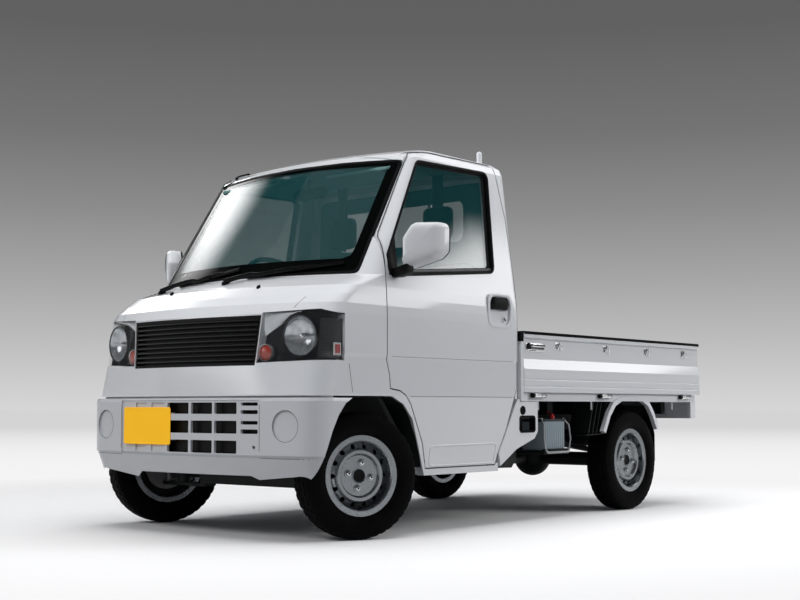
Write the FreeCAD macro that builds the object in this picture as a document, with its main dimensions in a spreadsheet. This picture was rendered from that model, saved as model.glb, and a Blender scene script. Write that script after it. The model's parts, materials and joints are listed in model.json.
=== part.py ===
import FreeCAD, Part
import math
import os
import Sketcher
from types import SimpleNamespace

os.makedirs("parts", exist_ok=True)
Vector = FreeCAD.Vector

# Frame: +Z up, the front faces -Y, +X is the vehicle's left, origin on the ground at the centre of the box.

SIZES = {
    # whole vehicle
    "body_reach": 1697.5,
    "half_width": 737.5,
    "front_overhang": 428.0,
    "wheelbase": 2184.5,
    "track_half": 655.0,
    "panel_gap": 6.0,
    "seat_gap": 0.3,
    "overrun": 400.0,
    # cab shell
    "cab_nose": 1680.0,
    "cab_height": 1780.0,
    "cab_back": 175.0,
    "cab_wall": 45.0,
    "roof_wall": 28.0,
    "cab_corner": 40.0,
    "roof_seam": 1712.0,
    "skirt_top": 600.0,
    "pillar_wall": 25.0,
    "pillar_flange": 30.0,
    "glass_wall": 6.0,
    "glass_setback": 14.0,
    "screen_frame": 32.0,
    "screen_round": 45.0,
    "window_round": 40.0,
    "handle_depth": 14.0,
    "grip_height": 34.0,
    "grip_depth": 9.0,
    "door_groove": 3.0,
    # lamps and grille
    "lens_wall": 4.0,
    "lamp_back": 1455.0,
    "reflector_radius": 82.0,
    "reflector_reach": 611.0,
    "reflector_level": 855.0,
    "reflector_depth": 34.0,
    "grille_setback": 5.0,
    "grille_depth": 30.0,
    "grille_slot_depth": 24.0,
    "grille_slat": 11.0,
    "grille_rim": 12.0,
    # bumper
    "bumper_wall": 18.0,
    "bumper_bottom": 247.0,
    "bumper_top": 600.0,
    "bumper_end": 1404.0,
    "bumper_step": 6.0,
    "bumper_slot_round": 5.0,
    "tow_hole_radius": 8.0,
    "fog_reach": 589.0,
    "fog_level": 482.0,
    "fog_radius": 65.0,
    "fog_depth": 7.0,
    # cab inside
    "floor_wall": 15.0,
    "floor_reach": 700.0,
    "floor_front": 1590.0,
    "floor_high": 650.0,
    "toe_top": 1165.0,
    "toe_foot": 960.0,
    "floor_low": 400.0,
    "heel_foot": 600.0,
    "heel_top": 560.0,
    "seat_box_top": 620.0,
    "floor_back": 240.0,
    "dash_reach": 700.0,
    "dash_front": 1330.0,
    "dash_back": 1010.0,
    "dash_top": 1105.0,
    "dash_low": 840.0,
    "cushion_width": 470.0,
    "cushion_length": 440.0,
    "cushion_height": 105.0,
    "cushion_round": 30.0,
    "cushion_nose": 690.0,
    "seat_spread": 327.0,
    "backrest_width": 450.0,
    "backrest_height": 560.0,
    "backrest_depth": 95.0,
    "backrest_round": 28.0,
    "headrest_width": 195.0,
    "headrest_height": 180.0,
    "headrest_depth": 55.0,
    "headrest_level": 1490.0,
    "headrest_stalk": 70.0,
    "stalk_wall": 14.0,
    "headrest_back": 335.0,
    "headrest_round": 22.0,
    # steering
    "wheel_reach": 355.0,
    "wheel_back": 740.0,
    "wheel_level": 1200.0,
    "wheel_radius": 182.0,
    "wheel_rim": 13.0,
    "wheel_boss": 52.0,
    "wheel_boss_depth": 46.0,
    "wheel_spoke": 26.0,
    "wheel_spoke_wall": 12.0,
    "column_radius": 24.0,
    "column_length": 706.0,
    "kingpin_half": 590.0,
    "steering_arm": 105.0,
    "arm_wall": 16.0,
    "arm_drop": 60.0,
    "arm_width": 26.0,
    "rod_radius": 9.0,
    # wheels
    "tyre_radius": 270.0,
    "tyre_width": 145.0,
    "bead_radius": 152.4,
    "flange_radius": 172.0,
    "flange_half": 57.0,
    "flange_wall": 6.0,
    "barrel_wall": 8.0,
    "disc_wall": 7.0,
    "disc_face": 32.0,
    "disc_crest": 44.0,
    "crest_radius": 101.0,
    "vent_ring": 125.0,
    "vent_radius": 10.5,
    "hub_bore": 28.0,
    "hub_radius": 60.0,
    "brake_radius": 108.0,
    "brake_wall": 12.0,
    "stub_radius": 30.0,
    "stub_length": 82.0,
    # bed
    "bed_front": 170.0,
    "bed_panel_wall": 22.0,
    "bed_floor_low": 632.0,
    "bed_floor_wall": 18.0,
    "bed_rib": 8.0,
    "bed_rib_width": 30.0,
    "sub_rail_low": 590.0,
    "sub_rail_reach": 722.0,
    "sub_rail_width": 80.0,
    "gate_low": 634.0,
    "gate_top": 930.0,
    "gate_wall": 30.0,
    "gate_step": 8.0,
    "gate_rail": 25.0,
    "gate_groove": 5.0,
    "gate_tail": 1692.0,
    "gate_hinge_level": 618.0,
    "gate_hinge_inset": 4.5,
    "hinge_radius": 8.0,
    "hinge_length": 34.0,
    "hinge_leaf": 3.0,
    "hook_radius": 4.0,
    "hook_width": 30.0,
    "hook_level": 870.0,
    "rope_hook_radius": 4.5,
    "rope_hook_drop": 44.0,
    # guard frame
    "guard_radius": 14.0,
    "guard_reach": 480.0,
    "guard_inner": 155.0,
    "guard_height": 1862.0,
    "guard_rail_level": 1640.0,
    # chassis
    "rail_reach": 330.0,
    "rail_width": 60.0,
    "rail_low": 290.0,
    "rail_height": 85.0,
    "rail_rise": 145.0,
    "rail_front": 1600.0,
    "rail_back": 1640.0,
    "rise_start": 250.0,
    "rise_end": 50.0,
    "cross_width": 60.0,
    "bed_beam_width": 50.0,
    "bed_beam_reach": 570.0,
    "axle_radius": 38.0,
    "drum_radius": 112.0,
    "drum_width": 55.0,
    "diff_radius": 105.0,
    "diff_offset": 60.0,
    "spring_reach": 470.0,
    "spring_width": 50.0,
    "spring_wall": 24.0,
    "spring_half": 520.0,
    "spring_rise": 110.0,
    "shaft_radius": 32.0,
    "strut_reach": 480.0,
    "strut_radius": 28.0,
    "engine_half": 225.0,
    "engine_low": 250.0,
    "engine_top": 580.0,
    "engine_front": 545.0,
    "engine_back": 190.0,
    "tank_inner": 370.0,
    "tank_outer": 650.0,
    "tank_low": 305.0,
    "tank_front": 10.0,
    "tank_back": 370.0,
    "tank_round": 40.0,
    "battery_front": 77.0,
    "battery_back": 270.0,
    "battery_low": 335.0,
    "battery_top": 493.0,
    "battery_inner": 560.0,
    "battery_outer": 700.0,
    "tray_wall": 12.0,
    "silencer_radius": 75.0,
    "silencer_length": 420.0,
    "silencer_reach": 200.0,
    "silencer_level": 335.0,
    "silencer_front": 120.0,
    "pipe_radius": 20.0,
    "spare_back": 1390.0,
    "spare_section": 61.0,
    # sides and tail
    "skirt_outer": 732.0,
    "skirt_wall": 30.0,
    "skirt_back": 20.0,
    "skirt_ceiling": 588.0,
    "skirt_window": 61.0,
    "guard_outer": 730.0,
    "guard_inner_side": 575.0,
    "lip_wall": 24.0,
    "tail_low": 494.0,
    "tail_wall": 22.0,
    "tail_back": 1664.0,
    "post_reach": 722.0,
    "post_width": 60.0,
    "buffer_radius": 22.0,
    "buffer_level": 565.0,
    "lamp_width": 210.0,
    "lamp_height": 80.0,
    "lamp_depth": 22.0,
    "lamp_reach": 650.0,
    # mirrors
    "mirror_inner": 762.0,
    "mirror_width": 175.0,
    "mirror_low": 1168.0,
    "mirror_height": 186.0,
    "mirror_depth": 58.0,
    "mirror_forward": 1135.0,
    "mirror_round": 18.0,
    "mirror_arm": 40.0,
    # wipers
    "wiper_radius": 6.0,
    "wiper_stand": 14.0,
}

REST_STEER_DEGREES = 20.0
WHEEL_TILT_DEGREES = 35.0
MIRROR_SWEEP_DEGREES = 30.0
VENT_COUNT = 14
SLAT_COUNT = 9
BED_RIB_COUNT = 9

# Plan sections of the cab, from the bottom up, as shares of the cab height (first), of the nose reach
# (lengths along Y), of the half width (lengths along X) and, last, of the reach of the back wall.
# Columns: level, nose centre, edge of the nose in X and Y, start of the side in X and Y, back wall.
CAB_SECTION_SHARES = (
    (0.144, 0.990, 0.860, 0.950, 0.979, 0.885, 1.00),
    (0.345, 1.002, 0.885, 0.964, 0.992, 0.903, 1.00),
    (0.433, 0.997, 0.865, 0.950, 0.994, 0.882, 1.00),
    (0.444, 0.997, 0.862, 0.948, 1.000, 0.882, 1.00),
    (0.538, 0.992, 0.855, 0.939, 1.000, 0.875, 1.00),
    (0.562, 0.975, 0.860, 0.921, 0.998, 0.858, 1.00),
    (0.584, 0.951, 0.860, 0.893, 0.994, 0.832, 1.00),
    (0.608, 0.920, 0.862, 0.856, 0.988, 0.797, 1.00),
    (0.640, 0.839, 0.873, 0.752, 0.977, 0.700, 1.00),
    (0.961, 0.601, 0.827, 0.540, 0.880, 0.508, 1.00),
    (0.978, 0.570, 0.790, 0.515, 0.866, 0.460, 1.04),
    (0.991, 0.530, 0.720, 0.480, 0.826, 0.420, 1.20),
    (1.000, 0.440, 0.550, 0.400, 0.620, 0.340, 1.70),
)
DOOR_HEADER = 12
DOOR_DEPTH_SHARE = 0.775
CAB_SPLIT_SHARE = 0.45
PILLAR_SHARE = 0.86
PILLAR_END_SHARE = 0.225
BELT_ROW = 8
HEADER_ROW = 9

# Side outlines of the cab as shares of the nose reach (forward) and of the cab height (up).
DOOR_SHARES = (
    (0.536, 0.163), (0.551, 0.227), (0.601, 0.322), (0.622, 0.345), (0.648, 0.357), (0.686, 0.362),
    (0.689, 0.392), (0.702, 0.430), (0.702, 0.579), (0.698, 0.640), (0.690, 0.698), (0.683, 0.742),
    (0.532, 0.974), (0.450, 0.981), (0.160, 0.986), (0.129, 0.838), (0.112, 0.650), (0.119, 0.534),
    (0.123, 0.449), (0.119, 0.371), (0.174, 0.250), (0.211, 0.190), (0.224, 0.163),
)
WINDOW_SHARES = (
    (0.684, 0.640), (0.681, 0.690), (0.519, 0.950), (0.196, 0.958), (0.215, 0.681),
)
ARCH_SHARES = (
    (0.836, 0.342), (0.680, 0.342), (0.633, 0.322), (0.595, 0.285), (0.573, 0.227), (0.543, 0.144),
)
DOOR_GROOVE_SHARES = ((0.900, 0.3395), (0.900, 0.3435), (0.000, 0.3435), (0.000, 0.3395))
HANDLE_SHARES = ((0.256, 0.533), (0.256, 0.618), (0.150, 0.618), (0.150, 0.533))
SKIRT_SHARES = (
    (0.203, 0.157), (0.209, 0.190), (0.171, 0.250), (0.116, 0.337), (0.104, 0.337), (0.104, 0.330),
)
BUMPER_SECTION_SHARES = (
    (0.000, 0.985, 0.825, 0.950, 0.972, 0.890),
    (0.285, 0.996, 0.862, 0.967, 0.990, 0.898),
    (0.320, 1.000, 0.868, 0.972, 0.994, 0.900),
    (0.960, 1.000, 0.870, 0.973, 0.999, 0.900),
    (1.000, 0.996, 0.868, 0.969, 0.996, 0.897),
)
BUMPER_ARCH_SHARES = (
    (0.942, 0.000), (0.932, 0.156), (0.921, 0.340), (0.900, 0.603), (0.877, 0.802), (0.852, 0.938),
    (0.827, 1.000),
)

# Front of the bumper: heights as shares of its height, places across as shares of the half width.
BUMPER_NOTCH_SHARES = ((-0.475, 0.000), (-0.430, 0.072), (0.525, 0.072), (0.620, 0.000))
BUMPER_RECESS_SHARES = ((-0.613, 0.302), (0.613, 0.975))
BUMPER_ROW_SHARES = ((0.807, 0.945), (0.572, 0.725), (0.332, 0.487))
BUMPER_COLUMN_SHARES = ((-0.152, 0.040), (0.061, 0.241), (0.259, 0.437))
BUMPER_BLIND_SHARES = ((-0.469, -0.358), (-0.309, -0.179))
BUMPER_END_SHARES = (0.469, 0.597)
BUMPER_END_PART_SHARES = ((0.00, 0.34), (0.72, 1.00))
TOW_HOLE_SHARES = (0.568, 0.411)

# Front outlines as shares of the half width and of the cab height.
SCREEN_SHARES = ((0.866, 0.642), (0.820, 0.954), (0.410, 0.959), (0.000, 0.961))
REAR_WINDOW_SHARES = ((0.545, 0.778), (0.600, 0.800), (0.600, 0.900), (0.545, 0.916))
GRILLE_SHARES = ((0.538, 0.414), (0.564, 0.534))
LAMP_SHARES = ((0.545, 0.420), (0.571, 0.540), (0.930, 0.545), (1.100, 0.524), (1.100, 0.426))

# Side outline of the rear wheel guard, as shares of the tyre radius from the axle line and above it.
GUARD_SHARES = (
    (-1.055, 0.56), (-0.86, 0.90), (-0.66, 1.10), (-0.41, 1.195), (0.41, 1.195), (0.64, 1.10),
    (0.82, 0.90), (1.00, 0.61),
)
FLAP_SHARES = ((1.035, 0.50), (1.035, -0.05))
TUB_GROWTH = 0.018
LIP_GROWTH = 0.080
NOTCH_GROWTH = 0.082

# Where the small pieces of the bed stand, as shares of the length of the side gate from its front.
GATE_HINGE_SHARES = (0.072, 0.418, 0.904)
GATE_HOOK_SHARES = (0.172, 0.427, 0.667, 0.904)
ROPE_HOOK_SHARES = (0.083, 0.357, 0.836)
TAILGATE_HINGE_SHARES = (0.14, 0.86)
BED_BEAM_SHARES = (0.055, 0.260, 0.480, 0.700, 0.920)
CROSS_SHARES = (0.010, 0.200, 0.500, 0.590, 0.790, 0.985)


class Length:
    """A length together with the sheet formula that gives it."""

    def __init__(self, value, text):
        self.value = value
        self.text = text

    def __add__(self, other):
        return Length(self.value + other.value, f"({self.text} + {other.text})")

    def __sub__(self, other):
        return Length(self.value - other.value, f"({self.text} - {other.text})")

    def __neg__(self):
        return Length(-self.value, f"(-1 * {self.text})")

    def __mul__(self, share):
        return Length(self.value * share, f"({self.text} * {share})")

    __rmul__ = __mul__

    def __truediv__(self, number):
        return Length(self.value / number, f"({self.text} / {number})")


ZERO = Length(0.0, "0")


def make_sheet(document):
    """Write the sizes into a sheet and give them back as lengths."""
    sheet = document.addObject("Spreadsheet::Sheet", "Sizes")
    for row, (name, value) in enumerate(SIZES.items(), start=1):
        sheet.set(f"A{row}", name)
        sheet.set(f"B{row}", str(value))
        sheet.setAlias(f"B{row}", name)
    document.recompute()
    return SimpleNamespace(**{name: Length(float(sheet.get(name)), f"Sizes.{name}") for name in SIZES})


doc = FreeCAD.newDocument("KeiTruck")
size = make_sheet(doc)
NODES = []

front_axle = size.front_overhang - size.body_reach
rear_axle = front_axle + size.wheelbase
gate_start = size.panel_gap - size.bed_front + size.bed_panel_wall
gate_length = size.gate_tail - gate_start
hinge_line = size.half_width - size.gate_hinge_inset


# Builders shared by all pieces

def keep(piece, label):
    """Name a finished sub-part and list it for writing."""
    piece.Label = label
    NODES.append(piece)
    return piece


def solid_feature(label, shape):
    """A sub-part whose form is worked out in code from the sheet."""
    feature = doc.addObject("Part::Feature", label)
    feature.Shape = shape
    feature.Placement = FreeCAD.Placement()
    return feature


def new_body(name):
    return doc.addObject("PartDesign::Body", name)


def new_sketch(body, name, role, lift=ZERO):
    """A sketch on one of the body's own planes, lifted along that plane's normal."""
    sketch = body.newObject("Sketcher::SketchObject", name)
    plane = [item for item in body.Origin.OriginFeatures if item.Role == role][0]
    sketch.AttachmentSupport = [(plane, "")]
    sketch.MapMode = "FlatFace"
    if lift is not ZERO:
        sketch.setExpression("AttachmentOffset.Base.z", lift.text)
    return sketch


def draw_polygon(sketch, points):
    """Closed outline whose corners are each held by two distances from the origin."""
    first = sketch.GeometryCount
    count = len(points)
    corners = [Vector(across.value, up.value, 0) for across, up in points]
    for index in range(count):
        sketch.addGeometry(Part.LineSegment(corners[index], corners[(index + 1) % count]), False)
    for index in range(count):
        nxt = first + (index + 1) % count
        sketch.addConstraint(Sketcher.Constraint("Coincident", first + index, 2, nxt, 1))
    for index, (across, up) in enumerate(points):
        for kind, length in (("DistanceX", across), ("DistanceY", up)):
            made = sketch.addConstraint(
                Sketcher.Constraint(kind, -1, 1, first + index, 1, length.value))
            sketch.setExpression(f"Constraints[{made}]", length.text)


def draw_circle(sketch, across, up, radius):
    """Circle held by its centre and radius."""
    centre = Vector(across.value, up.value, 0)
    circle = sketch.addGeometry(Part.Circle(centre, Vector(0, 0, 1), radius.value), False)
    for kind, length in (("DistanceX", across), ("DistanceY", up)):
        made = sketch.addConstraint(Sketcher.Constraint(kind, -1, 1, circle, 3, length.value))
        sketch.setExpression(f"Constraints[{made}]", length.text)
    made = sketch.addConstraint(Sketcher.Constraint("Radius", circle, radius.value))
    sketch.setExpression(f"Constraints[{made}]", radius.text)


def pad(body, sketch, length, midplane=False, reverse=False):
    feature = body.newObject("PartDesign::Pad", sketch.Name + "Pad")
    feature.Profile = sketch
    feature.setExpression("Length", length.text)
    feature.Midplane = midplane
    feature.Reversed = reverse
    return feature


def pocket(body, sketch, length, midplane=False, reverse=False):
    feature = body.newObject("PartDesign::Pocket", sketch.Name + "Pocket")
    feature.Profile = sketch
    feature.setExpression("Length", length.text)
    feature.Midplane = midplane
    feature.Reversed = reverse
    return feature


def revolve(body, sketch, axis="H_Axis"):
    feature = body.newObject("PartDesign::Revolution", sketch.Name + "Turn")
    feature.Profile = sketch
    feature.ReferenceAxis = (sketch, [axis])
    feature.Angle = 360.0
    return feature


def block(name, low, high):
    """Box between two corners given as lengths."""
    box = doc.addObject("Part::Box", name)
    for side, start, end in zip(("Length", "Width", "Height"), low, high):
        box.setExpression(side, (end - start).text)
    for axis, start in zip("xyz", low):
        box.setExpression(f"Placement.Base.{axis}", start.text)
    return box


def rod(name, radius, length, start, direction):
    """Cylinder from a start point along a unit direction."""
    cylinder = doc.addObject("Part::Cylinder", name)
    cylinder.setExpression("Radius", radius.text)
    cylinder.setExpression("Height", length.text)
    turn = FreeCAD.Rotation(Vector(0, 0, 1), Vector(*direction))
    cylinder.Placement = FreeCAD.Placement(Vector(*(item.value for item in start)), turn)
    for axis, item in zip("xyz", start):
        cylinder.setExpression(f"Placement.Base.{axis}", item.text)
    return cylinder


def fuse(name, pieces):
    joined = doc.addObject("Part::MultiFuse", name)
    joined.Shapes = pieces
    joined.Refine = True
    return joined


def cut(name, base, tool):
    result = doc.addObject("Part::Cut", name)
    result.Base = base
    result.Tool = tool
    return result


def common(name, base, tool):
    result = doc.addObject("Part::Common", name)
    result.Base = base
    result.Tool = tool
    return result


def rounded(name, base, radius, pick):
    """Fillet the edges that pick chooses."""
    doc.recompute()
    result = doc.addObject("Part::Fillet", name)
    result.Base = base
    chosen = [index for index, edge in enumerate(base.Shape.Edges, start=1) if pick(edge)]
    result.Edges = [(index, radius.value, radius.value) for index in chosen]
    return result


def mirrored(name, source):
    """The same piece on the other side of the vehicle."""
    copy = doc.addObject("Part::Mirroring", name)
    copy.Source = source
    copy.Normal = Vector(1, 0, 0)
    return copy


def pair(name, source):
    """One sub-part made of a piece and its copy on the other side."""
    group = doc.addObject("Part::Compound", name)
    group.Links = [source, mirrored(name + "_other_side", source)]
    return group


def other_side(shape):
    """A shape reflected to the other side of the vehicle."""
    return shape.mirror(Vector(), Vector(1, 0, 0))


def polygon_face(points):
    return Part.Face(Part.makePolygon(points + [points[0]]))


def side_prism(points, low, high):
    """Solid between two X positions over an outline of (y, z) values."""
    face = polygon_face([Vector(low, y, z) for y, z in points])
    return face.extrude(Vector(high - low, 0, 0))


def front_prism(points, low, high):
    """Solid between two Y positions over an outline of (x, z) values."""
    face = polygon_face([Vector(x, low, z) for x, z in points])
    return face.extrude(Vector(0, high - low, 0))


def grown(points, amount):
    """A flat outline moved outward by an amount, or inward where it is negative."""
    wire = Part.makePolygon([Vector(a, b, 0) for a, b in points] + [Vector(*points[0], 0)])
    moved = wire.makeOffset2D(amount, 2)
    return [(corner.Point.x, corner.Point.y) for corner in moved.OrderedVertexes]


def side_outline(shares):
    """Side outline of the cab in millimetres from its table of shares."""
    nose = size.cab_nose.value
    height = size.cab_height.value
    return [(-nose * forward, height * up) for forward, up in shares]


def front_outline(shares):
    """Front outline of the cab in millimetres from its table of shares."""
    half = size.half_width.value
    height = size.cab_height.value
    return [(half * across, height * up) for across, up in shares]


def both_halves(points):
    """A front outline completed by its mirror image."""
    return points + [(-x, z) for x, z in reversed(points) if x > 0]


def round_corners(solid, direction, radius):
    """Fillet the edges of a prism that run along a direction."""
    edges = [edge for edge in solid.Edges
             if len(edge.Vertexes) == 2
             and abs(edge.tangentAt(edge.FirstParameter).dot(direction)) > 0.999]
    return solid.makeFillet(radius, edges)


# Cab shell

def plan_ring(level, centre, edge_x, edge_y, side_x, side_y, back, corner):
    """Closed plan section: nose arc, rounded front corners, sides, rounded rear corners, back."""
    sagitta = edge_y - centre
    radius = (edge_x ** 2 + sagitta ** 2) / (2 * sagitta)
    slope = edge_x / math.sqrt(radius ** 2 - edge_x ** 2)
    pull_y = edge_y + (side_x - edge_x) * slope

    def at(x, y):
        return Vector(x, y, level)

    def bend(start, middle, end):
        curve = Part.BezierCurve()
        curve.setPoles([start, middle, end])
        return curve.toShape()

    edges = [Part.Arc(at(-edge_x, edge_y), at(0, centre), at(edge_x, edge_y)).toShape()]
    edges.append(bend(at(edge_x, edge_y), at(side_x, pull_y), at(side_x, side_y)))
    edges.append(Part.LineSegment(at(side_x, side_y), at(side_x, back - corner)).toShape())
    edges.append(bend(at(side_x, back - corner), at(side_x, back), at(side_x - corner, back)))
    edges.append(Part.LineSegment(at(side_x - corner, back), at(corner - side_x, back)).toShape())
    edges.append(bend(at(corner - side_x, back), at(-side_x, back), at(-side_x, back - corner)))
    edges.append(Part.LineSegment(at(-side_x, back - corner), at(-side_x, side_y)).toShape())
    edges.append(bend(at(-side_x, side_y), at(-side_x, pull_y), at(-edge_x, edge_y)))
    return Part.Wire(edges)


def cab_block(wall):
    """The cab's full form, moved inward everywhere by a wall."""
    nose = size.cab_nose.value
    half = size.half_width.value
    roof_drop = wall * size.roof_wall.value / size.cab_wall.value
    rings = []
    for row, shares in enumerate(CAB_SECTION_SHARES):
        level, centre, edge_x, edge_y, side_x, side_y, back = shares
        height = level * size.cab_height.value
        if row >= HEADER_ROW:
            height -= roof_drop
        if row == 0 and wall > 0:
            height -= size.overrun.value
        rings.append(plan_ring(
            height, wall - nose * centre, half * edge_x - wall / 2, wall - nose * edge_y,
            half * side_x - wall, wall - nose * side_y, -size.cab_back.value * back - wall,
            size.cab_corner.value))
    return Part.makeLoft(rings, True, True)


def screen_point(x, level):
    """Point of the windscreen's outer surface at a lateral place and a height."""
    low = CAB_SECTION_SHARES[BELT_ROW]
    high = CAB_SECTION_SHARES[HEADER_ROW]
    share = (level / size.cab_height.value - low[0]) / (high[0] - low[0])
    centre, edge_x, edge_y = (low[i] + share * (high[i] - low[i]) for i in (1, 2, 3))
    centre = -centre * size.cab_nose.value
    edge_x = edge_x * size.half_width.value
    edge_y = -edge_y * size.cab_nose.value
    sagitta = edge_y - centre
    radius = (edge_x ** 2 + sagitta ** 2) / (2 * sagitta)
    return Vector(x, centre + radius - math.sqrt(radius ** 2 - x ** 2), level)


def door_zone(gap):
    """Space of the left door, with its edges moved outward by a gap."""
    outer = size.half_width.value + size.overrun.value
    side = side_prism(grown(side_outline(DOOR_SHARES), gap), size.cab_wall.value, outer)
    half = size.half_width.value
    height = size.cab_height.value
    low = CAB_SECTION_SHARES[BELT_ROW]
    high = CAB_SECTION_SHARES[HEADER_ROW]
    inner = [(half * row[2] - gap, height * row[0]) for row in (low, high)]
    points = [(inner[0][0], 0), inner[0], inner[1], (inner[1][0], height), (outer, height), (outer, 0)]
    split = -size.cab_nose.value * DOOR_SHARES[DOOR_HEADER][0]
    reach = half * DOOR_DEPTH_SHARE - gap
    rear = Part.makeBox(outer - reach, 2 * size.cab_nose.value, 2 * height, Vector(reach, split, 0))
    return side.common(front_prism(points, -2 * size.cab_nose.value, split).fuse(rear))


def make_cab():
    """All panels, frames and panes of the cab."""
    wall = size.cab_wall.value
    gap = size.panel_gap.value
    fit = size.seat_gap.value
    over = size.overrun.value
    height = size.cab_height.value
    outer = cab_block(0)
    inner = cab_block(wall)
    shell = outer.cut(inner)
    closed = door_zone(gap)
    root = shell.cut([closed, other_side(closed)])

    def slab(low, high, front, back):
        return Part.makeBox(2 * over + 2 * size.half_width.value, back - front, high - low,
                            Vector(-size.half_width.value - over, front, low))

    nose = -size.cab_nose.value - over
    seam = size.roof_seam.value
    middle = -size.cab_nose.value * CAB_SPLIT_SHARE
    arch = side_prism(side_outline(ARCH_SHARES)
                      + [(-size.cab_nose.value * ARCH_SHARES[-1][0], -over), (nose, -over),
                         (nose, height * ARCH_SHARES[0][1])],
                      -size.half_width.value - over, size.half_width.value + over)

    screen = both_halves(front_outline(SCREEN_SHARES))
    screen_hole = round_corners(
        front_prism(grown(screen, -size.screen_frame.value), nose, middle), Vector(0, 1, 0),
        size.screen_round.value)
    screen_zone = round_corners(front_prism(screen, nose, middle), Vector(0, 1, 0),
                                size.screen_round.value / 3)
    glass = size.glass_wall.value
    layer = outer.cut(cab_block(glass + fit))
    pocket_zone = layer.common(screen_zone)
    nose_reach = -size.cab_nose.value
    sill = root.common(slab(0, height * DOOR_SHARES[0][1] + gap, nose_reach * ARCH_SHARES[-2][0],
                            nose_reach * SKIRT_SHARES[0][0] - gap)).cut(arch)
    front = root.common(slab(0, seam, nose, middle))
    front = front.cut([arch, screen_hole, pocket_zone, sill])
    lamp = lamp_zone(0)
    front = front.cut([lamp, other_side(lamp), grille_zone(0)])
    keep(solid_feature("cab_front", front), "cab_front")

    pane = outer.cut(cab_block(glass)).common(
        round_corners(front_prism(grown(screen, -fit), nose, middle), Vector(0, 1, 0),
                      size.screen_round.value / 3))
    keep(solid_feature("windscreen", pane), "windscreen")

    roof = keep(solid_feature("roof", root.common(slab(seam, height + over, nose, over))), "roof")

    back_window = both_halves(front_outline(REAR_WINDOW_SHARES))
    back_hole = front_prism(back_window, middle, over)
    rear = root.common(slab(size.skirt_top.value, seam, middle, over)).cut(back_hole)
    keep(solid_feature("cab_rear", rear), "cab_rear")
    set_in = cab_block(size.glass_setback.value)
    behind = cab_block(size.glass_setback.value + glass)
    sheet = set_in.cut(behind)
    rear_pane = sheet.common(front_prism(grown(back_window, -fit), middle, over))
    keep(solid_feature("rear_window", rear_pane), "rear_window")

    left_door = make_side(inner, shell, sill, closed, sheet)
    make_lamps(outer)
    make_grille()
    return doc.getObject("cab_front"), roof, left_door


def make_side(inner, shell, sill, closed, sheet):
    """Door, door glass and side frame of the left side, and their mirror images."""
    fit = size.seat_gap.value
    half = size.half_width.value
    window = side_outline(WINDOW_SHARES)
    hole = round_corners(side_prism(window, size.cab_wall.value, half + size.overrun.value),
                         Vector(1, 0, 0), size.window_round.value)
    door = shell.common(door_zone(0)).cut(hole)
    handle = side_outline(HANDLE_SHARES)
    door = door.cut(side_prism(handle, half - size.handle_depth.value, half + size.overrun.value))
    top = max(z for y, z in handle)
    grip = [(y, top - fit if z > top - size.grip_height.value else top - size.grip_height.value)
            for y, z in grown(handle, -fit)]
    bar = side_prism(grip, half - size.handle_depth.value, half - size.handle_depth.value
                     + size.grip_depth.value)
    line = side_prism(side_outline(DOOR_GROOVE_SHARES), half * PILLAR_SHARE, half + size.overrun.value)
    door = door.cut(cab_block(0).cut(cab_block(size.door_groove.value)).common(line))
    left = keep(solid_feature("door_left", door.fuse(bar)), "door_left")
    keep(mirrored("door_right", left), "door_right")

    pane = sheet.common(round_corners(side_prism(grown(window, -fit), size.cab_wall.value,
                                                 half + size.overrun.value),
                                      Vector(1, 0, 0), size.window_round.value))
    pane_left = keep(solid_feature("door_glass_left", pane), "door_glass_left")
    keep(mirrored("door_glass_right", pane_left), "door_glass_right")

    deep = cab_block(size.cab_wall.value + size.pillar_wall.value + size.panel_gap.value)
    flange = size.pillar_flange.value
    ring = inner.cut(deep).common(door_zone(flange))
    opening = side_prism(grown(side_outline(DOOR_SHARES), -flange), size.cab_wall.value,
                         half + size.overrun.value)
    relief = inner.cut(cab_block(size.cab_wall.value + size.panel_gap.value)).common(closed)
    ring = ring.cut([opening, relief])
    belt = size.cab_height.value * CAB_SECTION_SHARES[BELT_ROW][0]
    ring = ring.common(Part.makeBox(half, size.cab_nose.value * (2 - PILLAR_END_SHARE), belt,
                                    Vector(half * PILLAR_SHARE, -2 * size.cab_nose.value, 0)))
    ring = ring.cut(Part.makeBox(half, 2 * size.cab_nose.value, size.floor_high.value,
                                 Vector(0, -2 * size.cab_nose.value - size.cab_nose.value
                                        * DOOR_SHARES[5][0], 0)))
    frame = ring.fuse(sill.common(Part.makeBox(half, 2 * size.cab_nose.value, size.cab_height.value,
                                               Vector(0, -2 * size.cab_nose.value, 0))))
    frame_left = keep(solid_feature("side_frame_left", frame), "side_frame_left")
    keep(mirrored("side_frame_right", frame_left), "side_frame_right")
    return left


def lamp_zone(shrink):
    """Space of the left headlamp in the nose."""
    outline = front_outline(LAMP_SHARES)
    if shrink:
        outline = grown(outline, -shrink)
    front = -size.cab_nose.value - size.overrun.value
    return front_prism(outline, front, -size.lamp_back.value - shrink)


def grille_zone(shrink):
    """Space of the grille in the nose."""
    outline = both_halves(front_outline(GRILLE_SHARES))
    if shrink:
        outline = grown(outline, -shrink)
    front = -size.cab_nose.value - size.overrun.value
    return front_prism(outline, front, -size.cab_nose.value / 2)


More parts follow.
